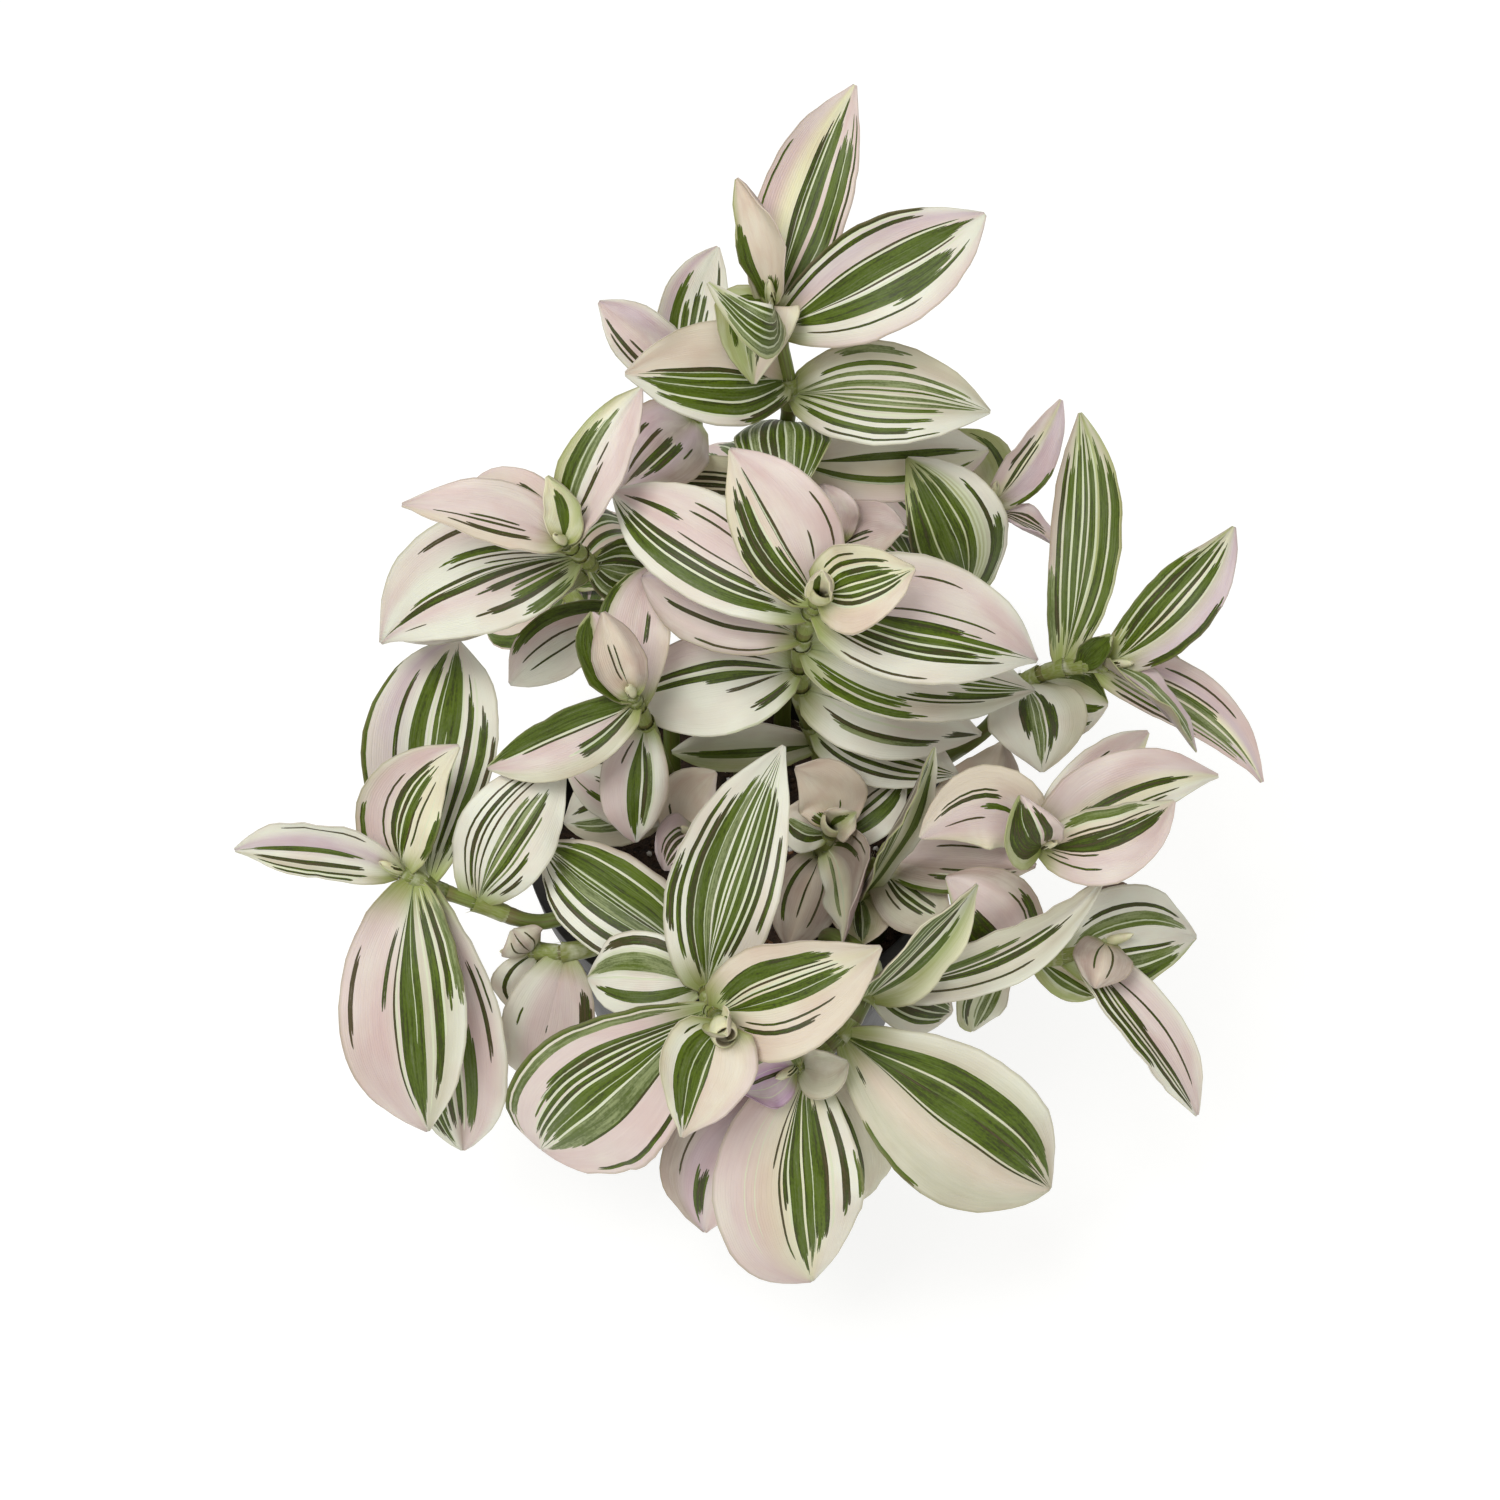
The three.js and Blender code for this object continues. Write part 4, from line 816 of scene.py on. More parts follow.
# The ends of a mark are ragged, and the outer streaks of a wide one are shorter.
MARK_EDGE = 0.012
POINTED = 0.12
RAGGED_START = (-0.02, 0.03)
RAGGED_END = (-0.03, 0.02)
LINE_PAST = 0.04


class Marks:
    """The streak and the pale line of each cell: start and end along the blade, width, tone."""

    def __init__(self, cells):
        self.u = (np.arange(cells) + 0.5) / cells * 2 - 1
        self.streak = np.zeros((cells, 4))
        self.line = np.zeros((cells, 4))

    def between(self, low, high):
        inside = np.nonzero((self.u >= low) & (self.u <= high))[0]
        return inside if len(inside) else np.array([np.abs(self.u - (low + high) / 2).argmin()])

    def mark(self, kind, low, high, start, end, chance):
        edge = MARK_EDGE if kind in BANDS else 0
        cells = self.between(low - edge, high + edge)
        tone = TONES.get(kind, TONES["g"])
        half = max(len(cells) - 1, 1) / 2
        for place, cell in enumerate(cells):
            outward = POINTED * (place / half - 1) ** 2 if len(cells) > 2 else 0
            starts = start + outward * (end - start) / 2 + chance.uniform(*RAGGED_START)
            ends = end - outward * (end - start) + chance.uniform(*RAGGED_END)
            if kind in STRIPES:
                self.line[cell] = starts, ends, chance.uniform(*PALE_WIDTHS) if kind == "w" else FULL, 1
            elif kind in BANDS:
                step = place % GROUP
                if kind == "l" and step == 0:
                    tone = TONES[MIXED_TONES[chance.integers(len(MIXED_TONES))]]
                if kind == "l" and step == GROUP - 1:
                    self.line[cell] = starts, ends + LINE_PAST, chance.uniform(NARROW, FULL), 1
                self.streak[cell] = starts, ends, FULL, tone + chance.uniform(-BAND_STRAY, BAND_STRAY)
            elif place % OLIVE_EVERY < OLIVE_EVERY - 1:
                width = chance.uniform(1, FULL)
                self.streak[cell] = starts, ends, width, tone + chance.uniform(0, OLIVE_STRAY)


def linear(colour):
    """The linear values of an sRGB colour."""
    return [((c / 255 + 0.055) / 1.055) ** 2.4 if c > 10 else c / 255 / 12.92 for c in colour]


TINT_LETTERS = "".join(TINTS)
TINT_VALUES = np.array([linear(colour) for colour in TINTS.values()])


def tint_across(letters, u):
    values = TINT_VALUES[[TINT_LETTERS.index(letter) for letter in letters]]
    places = np.linspace(-1, 1, len(letters))
    return np.stack([np.interp(u, places, values[:, channel]) for channel in range(3)], -1)


def ramp(low, high, value):
    """0 at low and 1 at high, with a smooth way between."""
    share = np.clip((value - low) / (high - low), 0, 1)
    return share * share * (3 - 2 * share)


# A skin is built of grids of points. Everything that its materials read is in its attributes:
# tint, the ground colour, and side, 1 on the upper face and 0 on the lower, at each point;
# streak and line, from Marks, and seed on each face;
# cell, the place in a cell and along the blade, at each corner.
class Skin:
    def __init__(self):
        self.parts = []
        self.tiles = []
        self.points = 0

    def add(self, points, quads, material, tint, side, streak, line, seed, cell, place, size):
        """One grid. quads index its points; cell and place are each quad's four corners, place within a
        tile that is size mm large."""
        count = len(quads)
        self.parts.append({
            "points": points,
            "quads": quads + self.points,
            "material": np.full(count, material),
            "tint": np.broadcast_to(tint, (len(points), 3)),
            "side": np.broadcast_to(side, len(points)),
            "streak": np.broadcast_to(streak, (count, 4)),
            "line": np.broadcast_to(line, (count, 4)),
            "seed": np.full(count, seed),
            "cell": cell,
            "place": place,
            "tile": np.full(count * 4, len(self.tiles)),
        })
        self.points += len(points)
        self.tiles.append(size)

    def column(self, name):
        return np.concatenate([part[name] for part in self.parts])


def shelves(sizes, scale):
    """Lays tiles of these sizes, tallest first, on shelves across a unit square. Gives their corners and the
    height used."""
    corners = np.zeros((len(sizes), 2))
    x = y = shelf = 0.0
    for tile in np.argsort(-sizes[:, 1], kind="stable"):
        wide, high = sizes[tile] * scale
        if x + wide > 1:
            x, y, shelf = 0.0, y + shelf, 0.0
        corners[tile] = x, y
        x += wide
        shelf = max(shelf, high)
    return corners, y + shelf


HALVINGS = 30


def atlas(sizes):
    """The largest scale at which the tiles fit in a unit square, and their corners."""
    low, high = 0.0, 1 / sizes.max()
    for _ in range(HALVINGS):
        scale = (low + high) / 2
        low, high = (scale, high) if shelves(sizes, scale)[1] <= 1 else (low, scale)
    return low, shelves(sizes, low)[0]


MAP_GAP = 0.6
SHARP_EDGE = math.radians(55)


def make_object(name, skin, materials):
    """A mesh object in metres from a skin, with its attributes and a map for baking."""
    points = skin.column("points") * MM
    quads = skin.column("quads")
    mesh = bpy.data.meshes.new(name)
    mesh.vertices.add(len(points))
    mesh.vertices.foreach_set("co", points.astype(np.float32).ravel())
    mesh.loops.add(quads.size)
    mesh.loops.foreach_set("vertex_index", quads.astype(np.int32).ravel())
    mesh.polygons.add(len(quads))
    mesh.polygons.foreach_set("loop_start", np.arange(0, quads.size, 4, dtype=np.int32))
    mesh.polygons.foreach_set("material_index", skin.column("material").astype(np.int32))
    for material in materials:
        mesh.materials.append(material)
    mesh.update(calc_edges=True)
    tint = np.column_stack([skin.column("tint"), np.ones(len(points))])
    for title, kind, domain, field, values in (
        ("tint", "FLOAT_COLOR", "POINT", "color", tint),
        ("side", "FLOAT", "POINT", "value", skin.column("side")),
        ("streak", "FLOAT_COLOR", "FACE", "color", skin.column("streak")),
        ("line", "FLOAT_COLOR", "FACE", "color", skin.column("line")),
        ("seed", "FLOAT", "FACE", "value", skin.column("seed")),
    ):
        attribute = mesh.attributes.new(title, kind, domain)
        attribute.data.foreach_set(field, values.astype(np.float32).ravel())
    sizes = np.array(skin.tiles, float)
    scale, corners = atlas(sizes)
    tile = skin.column("tile")
    place = skin.column("place").reshape(-1, 2)
    baked = corners[tile] + (MAP_GAP + place * (sizes[tile] - 2 * MAP_GAP)) * scale
    for title, values in (("cell", skin.column("cell").reshape(-1, 2)), ("place", place), ("OFBake", baked)):
        layer = mesh.uv_layers.new(name=title, do_init=False)
        layer.uv.foreach_set("vector", values.astype(np.float32).ravel())
    mesh.validate()
    mesh.shade_smooth()
    mesh.set_sharp_from_angle(angle=SHARP_EDGE)
    made = bpy.data.objects.new(name, mesh)
    bpy.context.scene.collection.objects.link(made)
    return made


def grid_quads(rows, columns, wrap=False):
    """Quads of a grid of points, row by row, whose columns close into a ring if wrap is set."""
    row, column = np.meshgrid(np.arange(rows - 1), np.arange(columns if wrap else columns - 1), indexing="ij")
    here, above = row * columns, (row + 1) * columns
    right = (column + 1) % columns
    quads = np.stack([here + column, here + right, above + right, above + column], -1)
    return quads.reshape(-1, 4), row.ravel(), column.ravel()


# A fine sheet: its thickness in the middle and at its edge, how its edge and its tip thin out, and its
# pleats.
BLADE = 0.8
EDGE_BLADE = 0.28
EDGE_THINS = 4
TIP_THINS = (0.9, 1.0)
PLEAT = 0.018
NORMAL_STEP = 0.004
NORMAL_REACH = 0.05

# Its rows, closer together at its ends, and the sizes of its faces' places in the map, as shares of theirs.
ROW_LENGTH = 2.2
FEWEST_ROWS = 14
CLOSER_ENDS = 0.06
UPPER_MAP = 1.0
LOWER_MAP = 0.6
RIM_MAP = 3.0

# Its veins gather at its base and wander, by waves with these turns along and across the blade. Its edge is
# nicked.
FAN = 2.2
FAN_FADE = 0.12
MEANDER = 0.012
DRIFTS = ((11, 3), (19, -7))
NICK = 0.018
NICK_KEEPS_TO_EDGE = 6
SLOW_NICKS = 0.37

# It swells in low waves, and flutters at its edge, but not at its base and tip.
RIPPLE = 0.25
RIPPLES_ACROSS = 5
RIPPLES_ALONG = 7
RIPPLE_SLANT = 1.5
SWAY = 2
SWAYS_ALONG = 4
FLUTTER = 0.3
FLUTTER_KEEPS_TO_EDGE = 3
FLUTTERS_PER_MM = 0.75
FLUTTER_DRIFTS = 9
CALM_BASE = (0, 0.12)
CALM_TIP = (0.85, 1)
YOUTH = 0.2


def sheet_corners(row, column, columns, v):
    """For each quad's four corners: the place in its cell and along, and the place in the whole sheet."""
    left = (column % 2) / 2
    cell = np.stack([left, v[row], left + 0.5, v[row], left + 0.5, v[row + 1], left, v[row + 1]], -1)
    one, two = column / (columns - 1), (column + 1) / (columns - 1)
    place = np.stack([one, v[row], two, v[row], two, v[row + 1], one, v[row + 1]], -1)
    return cell.reshape(-1, 4, 2), place.reshape(-1, 4, 2)


def marks_laid(marks, width, chance):
    laid = Marks(int(np.clip(2 * round(width / CELL_WIDTH / 2), FEWEST_CELLS, MOST_CELLS)))
    for mark in marks:
        laid.mark(*mark, chance)
    return laid


def sheet_grid(v, columns, length, wander):
    """u and v of each point of a sheet, whose columns follow its veins."""
    grid_v, even_u = np.meshgrid(v, np.linspace(-1, 1, columns), indexing="ij")
    drift = sum(
        np.sin(along * grid_v + across * even_u + phase) for (along, across), phase in zip(DRIFTS, wander[4:])
    )
    gathered = 1 + FAN * np.exp(-grid_v / FAN_FADE)
    grid_u = np.sign(even_u) * np.abs(even_u) ** gathered + MEANDER * (1 - even_u**2) * drift / 2
    nicks = np.sin(length * grid_v + wander[2])
    nicks *= np.sin(SLOW_NICKS * length * grid_v + wander[3] + np.sign(even_u))
    return grid_u * (1 - NICK * even_u**NICK_KEEPS_TO_EDGE * (1 + nicks) / 2), grid_v


def sheet_faces(surface, u, v, length, wander, ripple):
    """Points of a sheet's middle, and from there to its upper face."""
    below = np.clip(v - NORMAL_STEP, 0, 1 - 2 * NORMAL_STEP)
    ahead = surface(u, below + 2 * NORMAL_STEP) - surface(u, below)
    across = surface(np.minimum(u + NORMAL_REACH, 1), v) - surface(np.maximum(u - NORMAL_REACH, -1), v)
    normal = unit(np.cross(across, ahead))
    edge = np.maximum(np.abs(u) ** EDGE_THINS, ramp(*TIP_THINS, v))
    thick = BLADE + (EDGE_BLADE - BLADE) * edge
    crown = ramp(*CALM_BASE, v) * (1 - ramp(*CALM_TIP, v))
    pleat = PLEAT * crown * (1 - edge) * np.where(np.arange(u.shape[1]) % 2, 1, -1)
    sway = SWAY * np.sin(SWAYS_ALONG * v + wander[1])
    waves = ripple * crown * np.sin(RIPPLES_ACROSS * u + wander[0] + sway)
    waves *= np.sin(RIPPLES_ALONG * v + wander[2] + u * RIPPLE_SLANT)
    drift = np.sin(FLUTTER_DRIFTS * v + wander[1])
    flutter = np.sin(FLUTTERS_PER_MM * length * v + wander[0] + 2 * np.sign(u) + drift)
    waves += FLUTTER * (ripple / RIPPLE) * crown * np.abs(u) ** FLUTTER_KEEPS_TO_EDGE * flutter
    return surface(u, v) + normal * waves[..., None], normal * (thick / 2 + pleat)[..., None]


def add_sheet(skin, surface, width, length, look, chance, ripple=RIPPLE, youth=YOUTH):
    """A closed thin sheet along surface(u, v), marked by its look, that is green for its youth's share."""
    ground, marks = look
    laid = marks_laid(marks, width, chance)
    columns = 2 * len(laid.u) + 1
    rows = max(FEWEST_ROWS, round(length / ROW_LENGTH))
    even = np.linspace(0, 1, rows)
    v = even - CLOSER_ENDS * np.sin(2 * math.pi * even) / (2 * math.pi)
    wander = chance.uniform(0, 2 * math.pi, 6)
    grid_u, grid_v = sheet_grid(v, columns, length, wander)
    middle, up = sheet_faces(surface, grid_u, grid_v, length, wander, ripple)

    shade = tint_across(ground, grid_u)
    young = (1 - ramp(0, youth, grid_v))[..., None]
    shade = (shade + (np.array(linear(YOUNG_GREEN)) - shade) * young).reshape(-1, 3)
    quads, row, column = grid_quads(rows, columns)
    cell, place = sheet_corners(row, column, columns, v)
    seed = chance.random()
    marked = (laid.streak[column // 2], laid.line[column // 2], seed)
    size = np.array([width, length])
    first = skin.points
    turned = [0, 3, 2, 1]
    skin.add((middle + up).reshape(-1, 3), quads, 0, shade, 1, *marked, cell, place, size * UPPER_MAP)
    skin.add(
        (middle - up).reshape(-1, 3), quads[:, turned], 0, shade, 0, *marked,
        cell[:, turned], place[:, turned], size * LOWER_MAP,
    )
    add_rim(skin, first, rows, columns, v, laid, seed, length)


def add_rim(skin, first, rows, columns, v, laid, seed, length):
    """The narrow band of quads that joins a sheet's two faces, whose points start at first, all round."""
    side = np.arange(rows - 2, 0, -1) * columns
    far = (rows - 1) * columns + np.arange(columns - 2, -1, -1)
    border = np.concatenate([np.arange(columns), np.arange(1, rows) * columns + columns - 1, far, side])
    after = np.roll(border, -1)
    lower = rows * columns
    rim = np.stack([border, border + lower, after + lower, after], -1) + first - skin.points
    start = np.arange(len(rim)) / len(rim)
    end = start + 1 / len(rim)
    low, high = np.zeros(len(rim)), np.ones(len(rim))
    place = np.stack([start, low, start, high, end, high, end, low], -1).reshape(-1, 4, 2)
    cell = np.stack([low + 0.5, v[border // columns]] * 4, -1).reshape(-1, 4, 2)
    outer = np.minimum(border % columns, columns - 2) // 2
    none = np.zeros((0, 3))
    skin.add(
        none, rim, 0, none, 0, laid.streak[outer], laid.line[outer], seed,
        cell, place, np.array([length, RIM_MAP]),
    )


def frames_along(line, shares):
    """Points of a line and two directions square to it that turn as little as they can."""
    points, ahead = line.at(shares), line.ahead(shares)
    one = np.zeros_like(points)
    one[0] = unit(np.cross(ahead[0], TO_EYE))
    for index in range(1, len(points)):
        one[index] = unit(one[index - 1] - ahead[index] * (one[index - 1] @ ahead[index]))
    return points, one, np.cross(ahead, one)


def add_tube(skin, points, one, two, radii, sides, material, tint, seed=0.0):
    """Unmarked rings round a line of points. The first and the last radius are 0, so that the ends close."""
    turn = 2 * math.pi * np.arange(sides) / sides
    ring = one[:, None] * np.cos(turn)[:, None] + two[:, None] * np.sin(turn)[:, None]
    surface = points[:, None] + ring * radii[:, None, None]
    quads, row, column = grid_quads(len(points), sides, wrap=True)
    along = np.concatenate([[0], np.cumsum(np.linalg.norm(np.diff(points, axis=0), axis=1))])
    cell, place = sheet_corners(row, column, sides + 1, along / along[-1])
    unmarked = np.zeros(4)
    skin.add(
        surface.reshape(-1, 3), quads, material, np.repeat(tint, sides, axis=0), 1, unmarked, unmarked, seed,
        cell, place, np.array([2 * math.pi * radii.max(), along[-1]]),
    )


STEM_ROW = 1.0
STEM_SIDES = 16
STEM_GREEN = (90, 104, 36)
STEM_PALE = (134, 150, 66)
PALER = (0.5, 1)

# A knot: how much thicker it is, how far it reaches along the stem, and how brown it is.
KNOT = 0.14
KNOT_REACH = 1.6
KNOT_BROWN = (112, 96, 62)
KNOT_SHADE = 0.6

# A sheath: its length, its sides and its profile, as shares along it and how far it stands out of the stem
# there, in SHEATH_OUT. Its top is this step of the profile. From there it turns in.
SHEATH_LENGTH = 7
SHEATH_FREE = 0.9
SHORTEST_SHEATH = 1.5
SHEATH_LAST = 1.2
SHEATH_OUT = 0.24
SHEATH_FLARE = 1.5
SHEATH_SIDES = 18
SHEATH_STEPS = np.array([0, 0, 0.05, 0.15, 0.35, 0.6, 0.85, 0.97, 1, 1, 0.97, 0.9, 0.8, 0.8])
SHEATH_PROFILE = np.array([0, -0.3, 0.05, 0.7, 0.75, 0.8, 1.15, 1.6, 1.75, 1.5, 1.2, 0.5, -0.3, 0])
SHEATH_TOP = 8

# A hair on its top: its length and how that varies, how far it leans out, and its steps and radius there.
HAIRS = 12
HAIR_LENGTH = 1.5
HAIR_VARIES = (0.6, 1.2)
HAIR_LEAN = (0.1, 0.8)
HAIR_RADIUS = 0.05
HAIR_SIDES = 4
HAIR_STEPS = np.array([0, 0, 0.6, 1])
HAIR_THINS = np.array([0, 1, 0.7, 0])
HAIR_TINT = "c"


def stem_radius(share):
    return STEM_RADIUS + (STEM_TIP_RADIUS - STEM_RADIUS) * share


def sheath_length(line, leaf, own_leaves):
    """Less than the way down to the next blade's joint."""
    below = [leaf.joint - other.joint for other in own_leaves if other.joint < leaf.joint]
    free = min(below, default=1) * line.length() / line.last
    return min(SHEATH_LENGTH, free * SHEATH_FREE)


def add_stem(skin, line, own_leaves, chance):
    """The stem with a knot under each blade's sheath."""
    length = line.length()
    rows = round(length / STEM_ROW)
    shares = np.linspace(0, 1, rows)
    points, one, two = frames_along(line, shares)
    knots = np.zeros(rows)
    for leaf in own_leaves:
        below = sheath_length(line, leaf, own_leaves)
        if below >= SHORTEST_SHEATH * 2:
            place = line.share_of_joint(leaf.joint) - below / length
            knots = np.maximum(knots, np.exp(-(((shares - place) * length / KNOT_REACH) ** 2)))
    radii = stem_radius(shares) * (1 + KNOT * knots)
    radii[[0, -1]] = 0
    green, pale, brown = (np.array(linear(shade)) for shade in (STEM_GREEN, STEM_PALE, KNOT_BROWN))
    tint = green + (pale - green) * ramp(*PALER, shares)[:, None]
    tint = tint + (brown - tint) * (knots * KNOT_SHADE)[:, None]
    add_tube(skin, points, one, two, radii, STEM_SIDES, 1, tint, chance.random())


def add_sheath(skin, line, leaf, own_leaves, chance):
    """The closed sheath that clasps the stem from a blade's knot up to its foot, with a fringe of hairs."""
    length = line.length()
    below = sheath_length(line, leaf, own_leaves)
    if below < SHORTEST_SHEATH:
        return
    top = line.share_of_joint(leaf.joint) * length + SHEATH_LAST
    bottom = top - below - SHEATH_LAST
    shares = np.clip((bottom + (top - bottom) * SHEATH_STEPS) / length, 0, 1)
    points, one, two = frames_along(line, shares)
    joints = line.last + 1 - POINTS_BELOW_JOINTS
    flare = (below / SHEATH_LENGTH) ** SHEATH_FLARE
    radii = stem_radius(leaf.joint / joints) + SHEATH_OUT * SHEATH_PROFILE * flare
    radii[[0, -1]] = 0
    tint = np.tile(linear(SHEATH_GREEN), (len(shares), 1))
    add_tube(skin, points, one, two, radii, SHEATH_SIDES, 0, tint, chance.random())
    add_hairs(skin, points[SHEATH_TOP], one[SHEATH_TOP], two[SHEATH_TOP], radii[SHEATH_TOP], chance)


def add_hairs(skin, middle, one, two, radius, chance):
    """A ring of hairs that stand on a circle."""
    pale = np.tile(linear(TINTS[HAIR_TINT]), (len(HAIR_STEPS), 1))
    for turn in 2 * math.pi * (np.arange(HAIRS) + chance.random()) / HAIRS:
        outward = one * math.cos(turn) + two * math.sin(turn)
        lean = unit(np.cross(one, two) + outward * chance.uniform(*HAIR_LEAN))
        grow = lean * HAIR_LENGTH * chance.uniform(*HAIR_VARIES)
        places = middle + outward * (radius - HAIR_RADIUS) + grow * HAIR_STEPS[:, None]
        square = unit(np.cross(grow, outward))
        ways = (np.tile(way, (len(places), 1)) for way in (square, unit(np.cross(grow, square))))
        add_tube(skin, places, *ways, HAIR_RADIUS * HAIR_THINS, HAIR_SIDES, 1, pale)


# The young leaf still rolled up at the end of a stem, which some stems hold open and others nearly shut.
ROLL_FOOT = 0.99
ROLL_LENGTH = 8
ROLL_WIDTH = 12
ROLL_RADIUS = 3.2
ROLL_TURNS = 1.1
ROLL_MAP = 1.6
ROLL_TO_EYE = 0.8
ROLL_LOOK = ("gyyg", [("o", -0.5, -0.2, 0, 0.7)])
ROLL_YOUTH = 0.5
OPEN_ROLLS = ("centre", "front", "middle")
SHUT_ROLL = 0.35


def add_roll(skin, line, spread, chance):
    foot, ahead = line.at(ROLL_FOOT), unit(line.ahead(1.0) + ROLL_TO_EYE * TO_EYE)
    one = unit(np.cross(ahead, TO_EYE + 0.1 * RIGHT))
    two = np.cross(ahead, one)
    start = chance.uniform(0, 2 * math.pi)

    def surface(u, v):
        """It winds outwards from u -1 to 1, swells at mid height and is lower at its ends."""
        u, v = np.broadcast_arrays(np.asarray(u, float), np.asarray(v, float))
        turn = start + u * ROLL_TURNS * math.pi
        swell = 0.5 + 0.5 * np.sin(math.pi * np.minimum(v * 0.6 + 0.1, 1))
        swell *= 1 - (1 - spread) * v**3
        radius = ROLL_RADIUS * spread * swell * (0.65 + 0.18 * (u + 1))
        height = ROLL_LENGTH * v * (1 - 0.3 * u * u)
        round_it = one * (radius * np.cos(turn))[..., None] + two * (radius * np.sin(turn))[..., None]
        return foot + ahead * height[..., None] + round_it

    add_sheet(
        skin, surface, ROLL_WIDTH, ROLL_LENGTH * ROLL_MAP, ROLL_LOOK, chance, ripple=0, youth=ROLL_YOUTH
    )


def make_shoot(index, name, materials):
    """One leafy stem with all its blades, in place of its solid."""
    chance = np.random.default_rng(1000 + index)
    skin = Skin()
    line = lines[index]
    own_leaves = [leaf for leaf in leaves if leaf.stem == index]
    add_stem(skin, line, own_leaves, chance)
    looks = written_looks(LOOKS.get(name, ""))
    for leaf in own_leaves:
        add_sheath(skin, line, leaf, own_leaves, chance)
        look = looks[leaf.order] if leaf.order in looks else chosen_look(chance)
        add_sheet(skin, leaf.at, leaf.width, leaf.length, look, chance)
    add_roll(skin, line, 1 if name in OPEN_ROLLS else SHUT_ROLL, chance)
    made = make_object(f"{name}_shoot", skin, materials)
    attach(made, "root")
    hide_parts(f"leafy_stem_{name}")


# Materials. A node's input takes a number, a colour or another node's output.
class Nodes:
    def __init__(self, name):
        self.material = bpy.data.materials.new(name)
        self.material.use_nodes = True
        self.tree = self.material.node_tree
        self.tree.nodes.clear()

    def add(self, kind, settings=None, **inputs):
        node = self.tree.nodes.new(f"ShaderNode{kind}")
        for name, value in (settings or {}).items():
            setattr(node, name, value)
        for name, value in inputs.items():
            self.feed(node.inputs[name.replace("_", " ")], value)
        return node

    def feed(self, socket, value):
        if isinstance(value, bpy.types.NodeSocket):
            self.tree.links.new(value, socket)
        else:
            socket.default_value = value

    def math(self, operation, *values):
        node = self.add("Math", {"operation": operation})
        for index, value in enumerate(values):
            self.feed(node.inputs[index], value)
        return node.outputs[0]

    def plus(self, one, two):
        return self.math("ADD", one, two)

    def minus(self, one, two):
        return self.math("SUBTRACT", one, two)

    def times(self, one, two):
        return self.math("MULTIPLY", one, two)

    def mix(self, share, one, two, blend="MIX"):
        node = self.add("Mix", {"data_type": "RGBA", "blend_type": blend})
        for index, value in ((0, share), (6, one), (7, two)):
            self.feed(node.inputs[index], value)
        return node.outputs[2]

    def spread(self, value, low, high, to_low, to_high, smooth=False):
        node = self.add("MapRange", {"interpolation_type": "SMOOTHSTEP" if smooth else "LINEAR"})
        for index, given in enumerate((value, low, high, to_low, to_high)):
            self.feed(node.inputs[index], given)
        return node.outputs[0]

    def noise(self, vector, scale, detail=2.0):
        return self.add("TexNoise", Vector=vector, Scale=scale, Detail=detail).outputs["Fac"]

    def grain(self, u, v, seed, across, along, detail=2.0):
        """Noise with so many grains across and along a sheet."""
        vector = self.add("CombineXYZ", X=self.times(u, across), Y=self.times(v, along), Z=seed).outputs[0]
        return self.noise(vector, 1.0, detail)

    def attribute(self, name):
        return self.add("Attribute", {"attribute_name": name})

    def seed(self):
        return self.times(self.attribute("seed").outputs["Fac"], SEEDS)

    def map(self, name):
        """u and v of a map."""
        return self.add("SeparateXYZ", Vector=self.add("UVMap", {"uv_map": name}).outputs[0]).outputs[:2]

    def object_place(self):
        return self.add("TexCoord").outputs["Object"]

    def ramp(self, value, stops):
        """The colour at a value, from a table of colours by their place."""
        node = self.add("ValToRGB", Fac=value)
        elements = node.color_ramp.elements
        first, *between, last = sorted(stops)
        for element, place in zip(elements, (first, last)):
            element.position, element.color = place, colour(*stops[place])
        for place in between:
            elements.new(place).color = colour(*stops[place])
        return node.outputs[0]

    def finish(self, shade, roughness, height, distance, **shader):
        bump = self.add("Bump", Strength=1.0, Distance=distance, Height=height).outputs[0]
        surface = self.add("BsdfPrincipled", Base_Color=shade, Roughness=roughness, Normal=bump, **shader)
        output = self.add("OutputMaterial")
        self.tree.links.new(surface.outputs[0], output.inputs[0])
        return self.material


def colour(*srgb):
    return (*linear(srgb), 1)


# How far apart the noises of two sheets are.
SEEDS = 60.0

# How soft a streak's sides are, over what share of a blade it tapers, how narrow it may get, and how far
# its sides wander, coarsely and finely, in cells.
STREAK_SOFT = 0.22
TAPER = 0.05
NARROWEST = 0.02
CELL_WANDER = 0.4
GRAIN_WANDER = 0.3
ENDS_WANDER = 0.1

# From brown through dark green and green to a milky green, by tone.
GREENS = {
    0.0: (78, 68, 40),
    0.22: (54, 62, 12),
    0.46: (78, 97, 8),
    0.72: (92, 104, 56),
    1.0: (138, 148, 100),
}
FRESH_GREEN = (92, 112, 8)
# A near-white for fine streaks along the veins, partly a painted sheen.
PALE_VEIN_SHEEN = (244, 240, 224)
BLUSH = (240, 222, 222)
CREAM = (226, 224, 206)
PALE_LINE = (210, 216, 184)
# A dark olive line at a blade's edge: partly its own edge colour, partly painted shade.
MARGIN_AND_EDGE_SHADE = (134, 128, 88)
UNDERSIDE = (150, 124, 130)


def streak_mask(nodes, marked, across, along):
    """1 inside the streak that an attribute describes: start, end, width and tone."""
    start, end, width = nodes.add("SeparateColor", Color=marked.outputs["Color"]).outputs
    inside = nodes.math("MINIMUM", nodes.minus(along, start), nodes.minus(end, along))
    reach = nodes.math("SQRT", nodes.spread(inside, 0.0, TAPER, 0.0, 1.0))
    narrowed = nodes.times(width, reach)
    soft = nodes.spread(nodes.minus(narrowed, across), -STREAK_SOFT, STREAK_SOFT, 0.0, 1.0, smooth=True)
    return nodes.times(soft, nodes.math("GREATER_THAN", narrowed, NARROWEST))


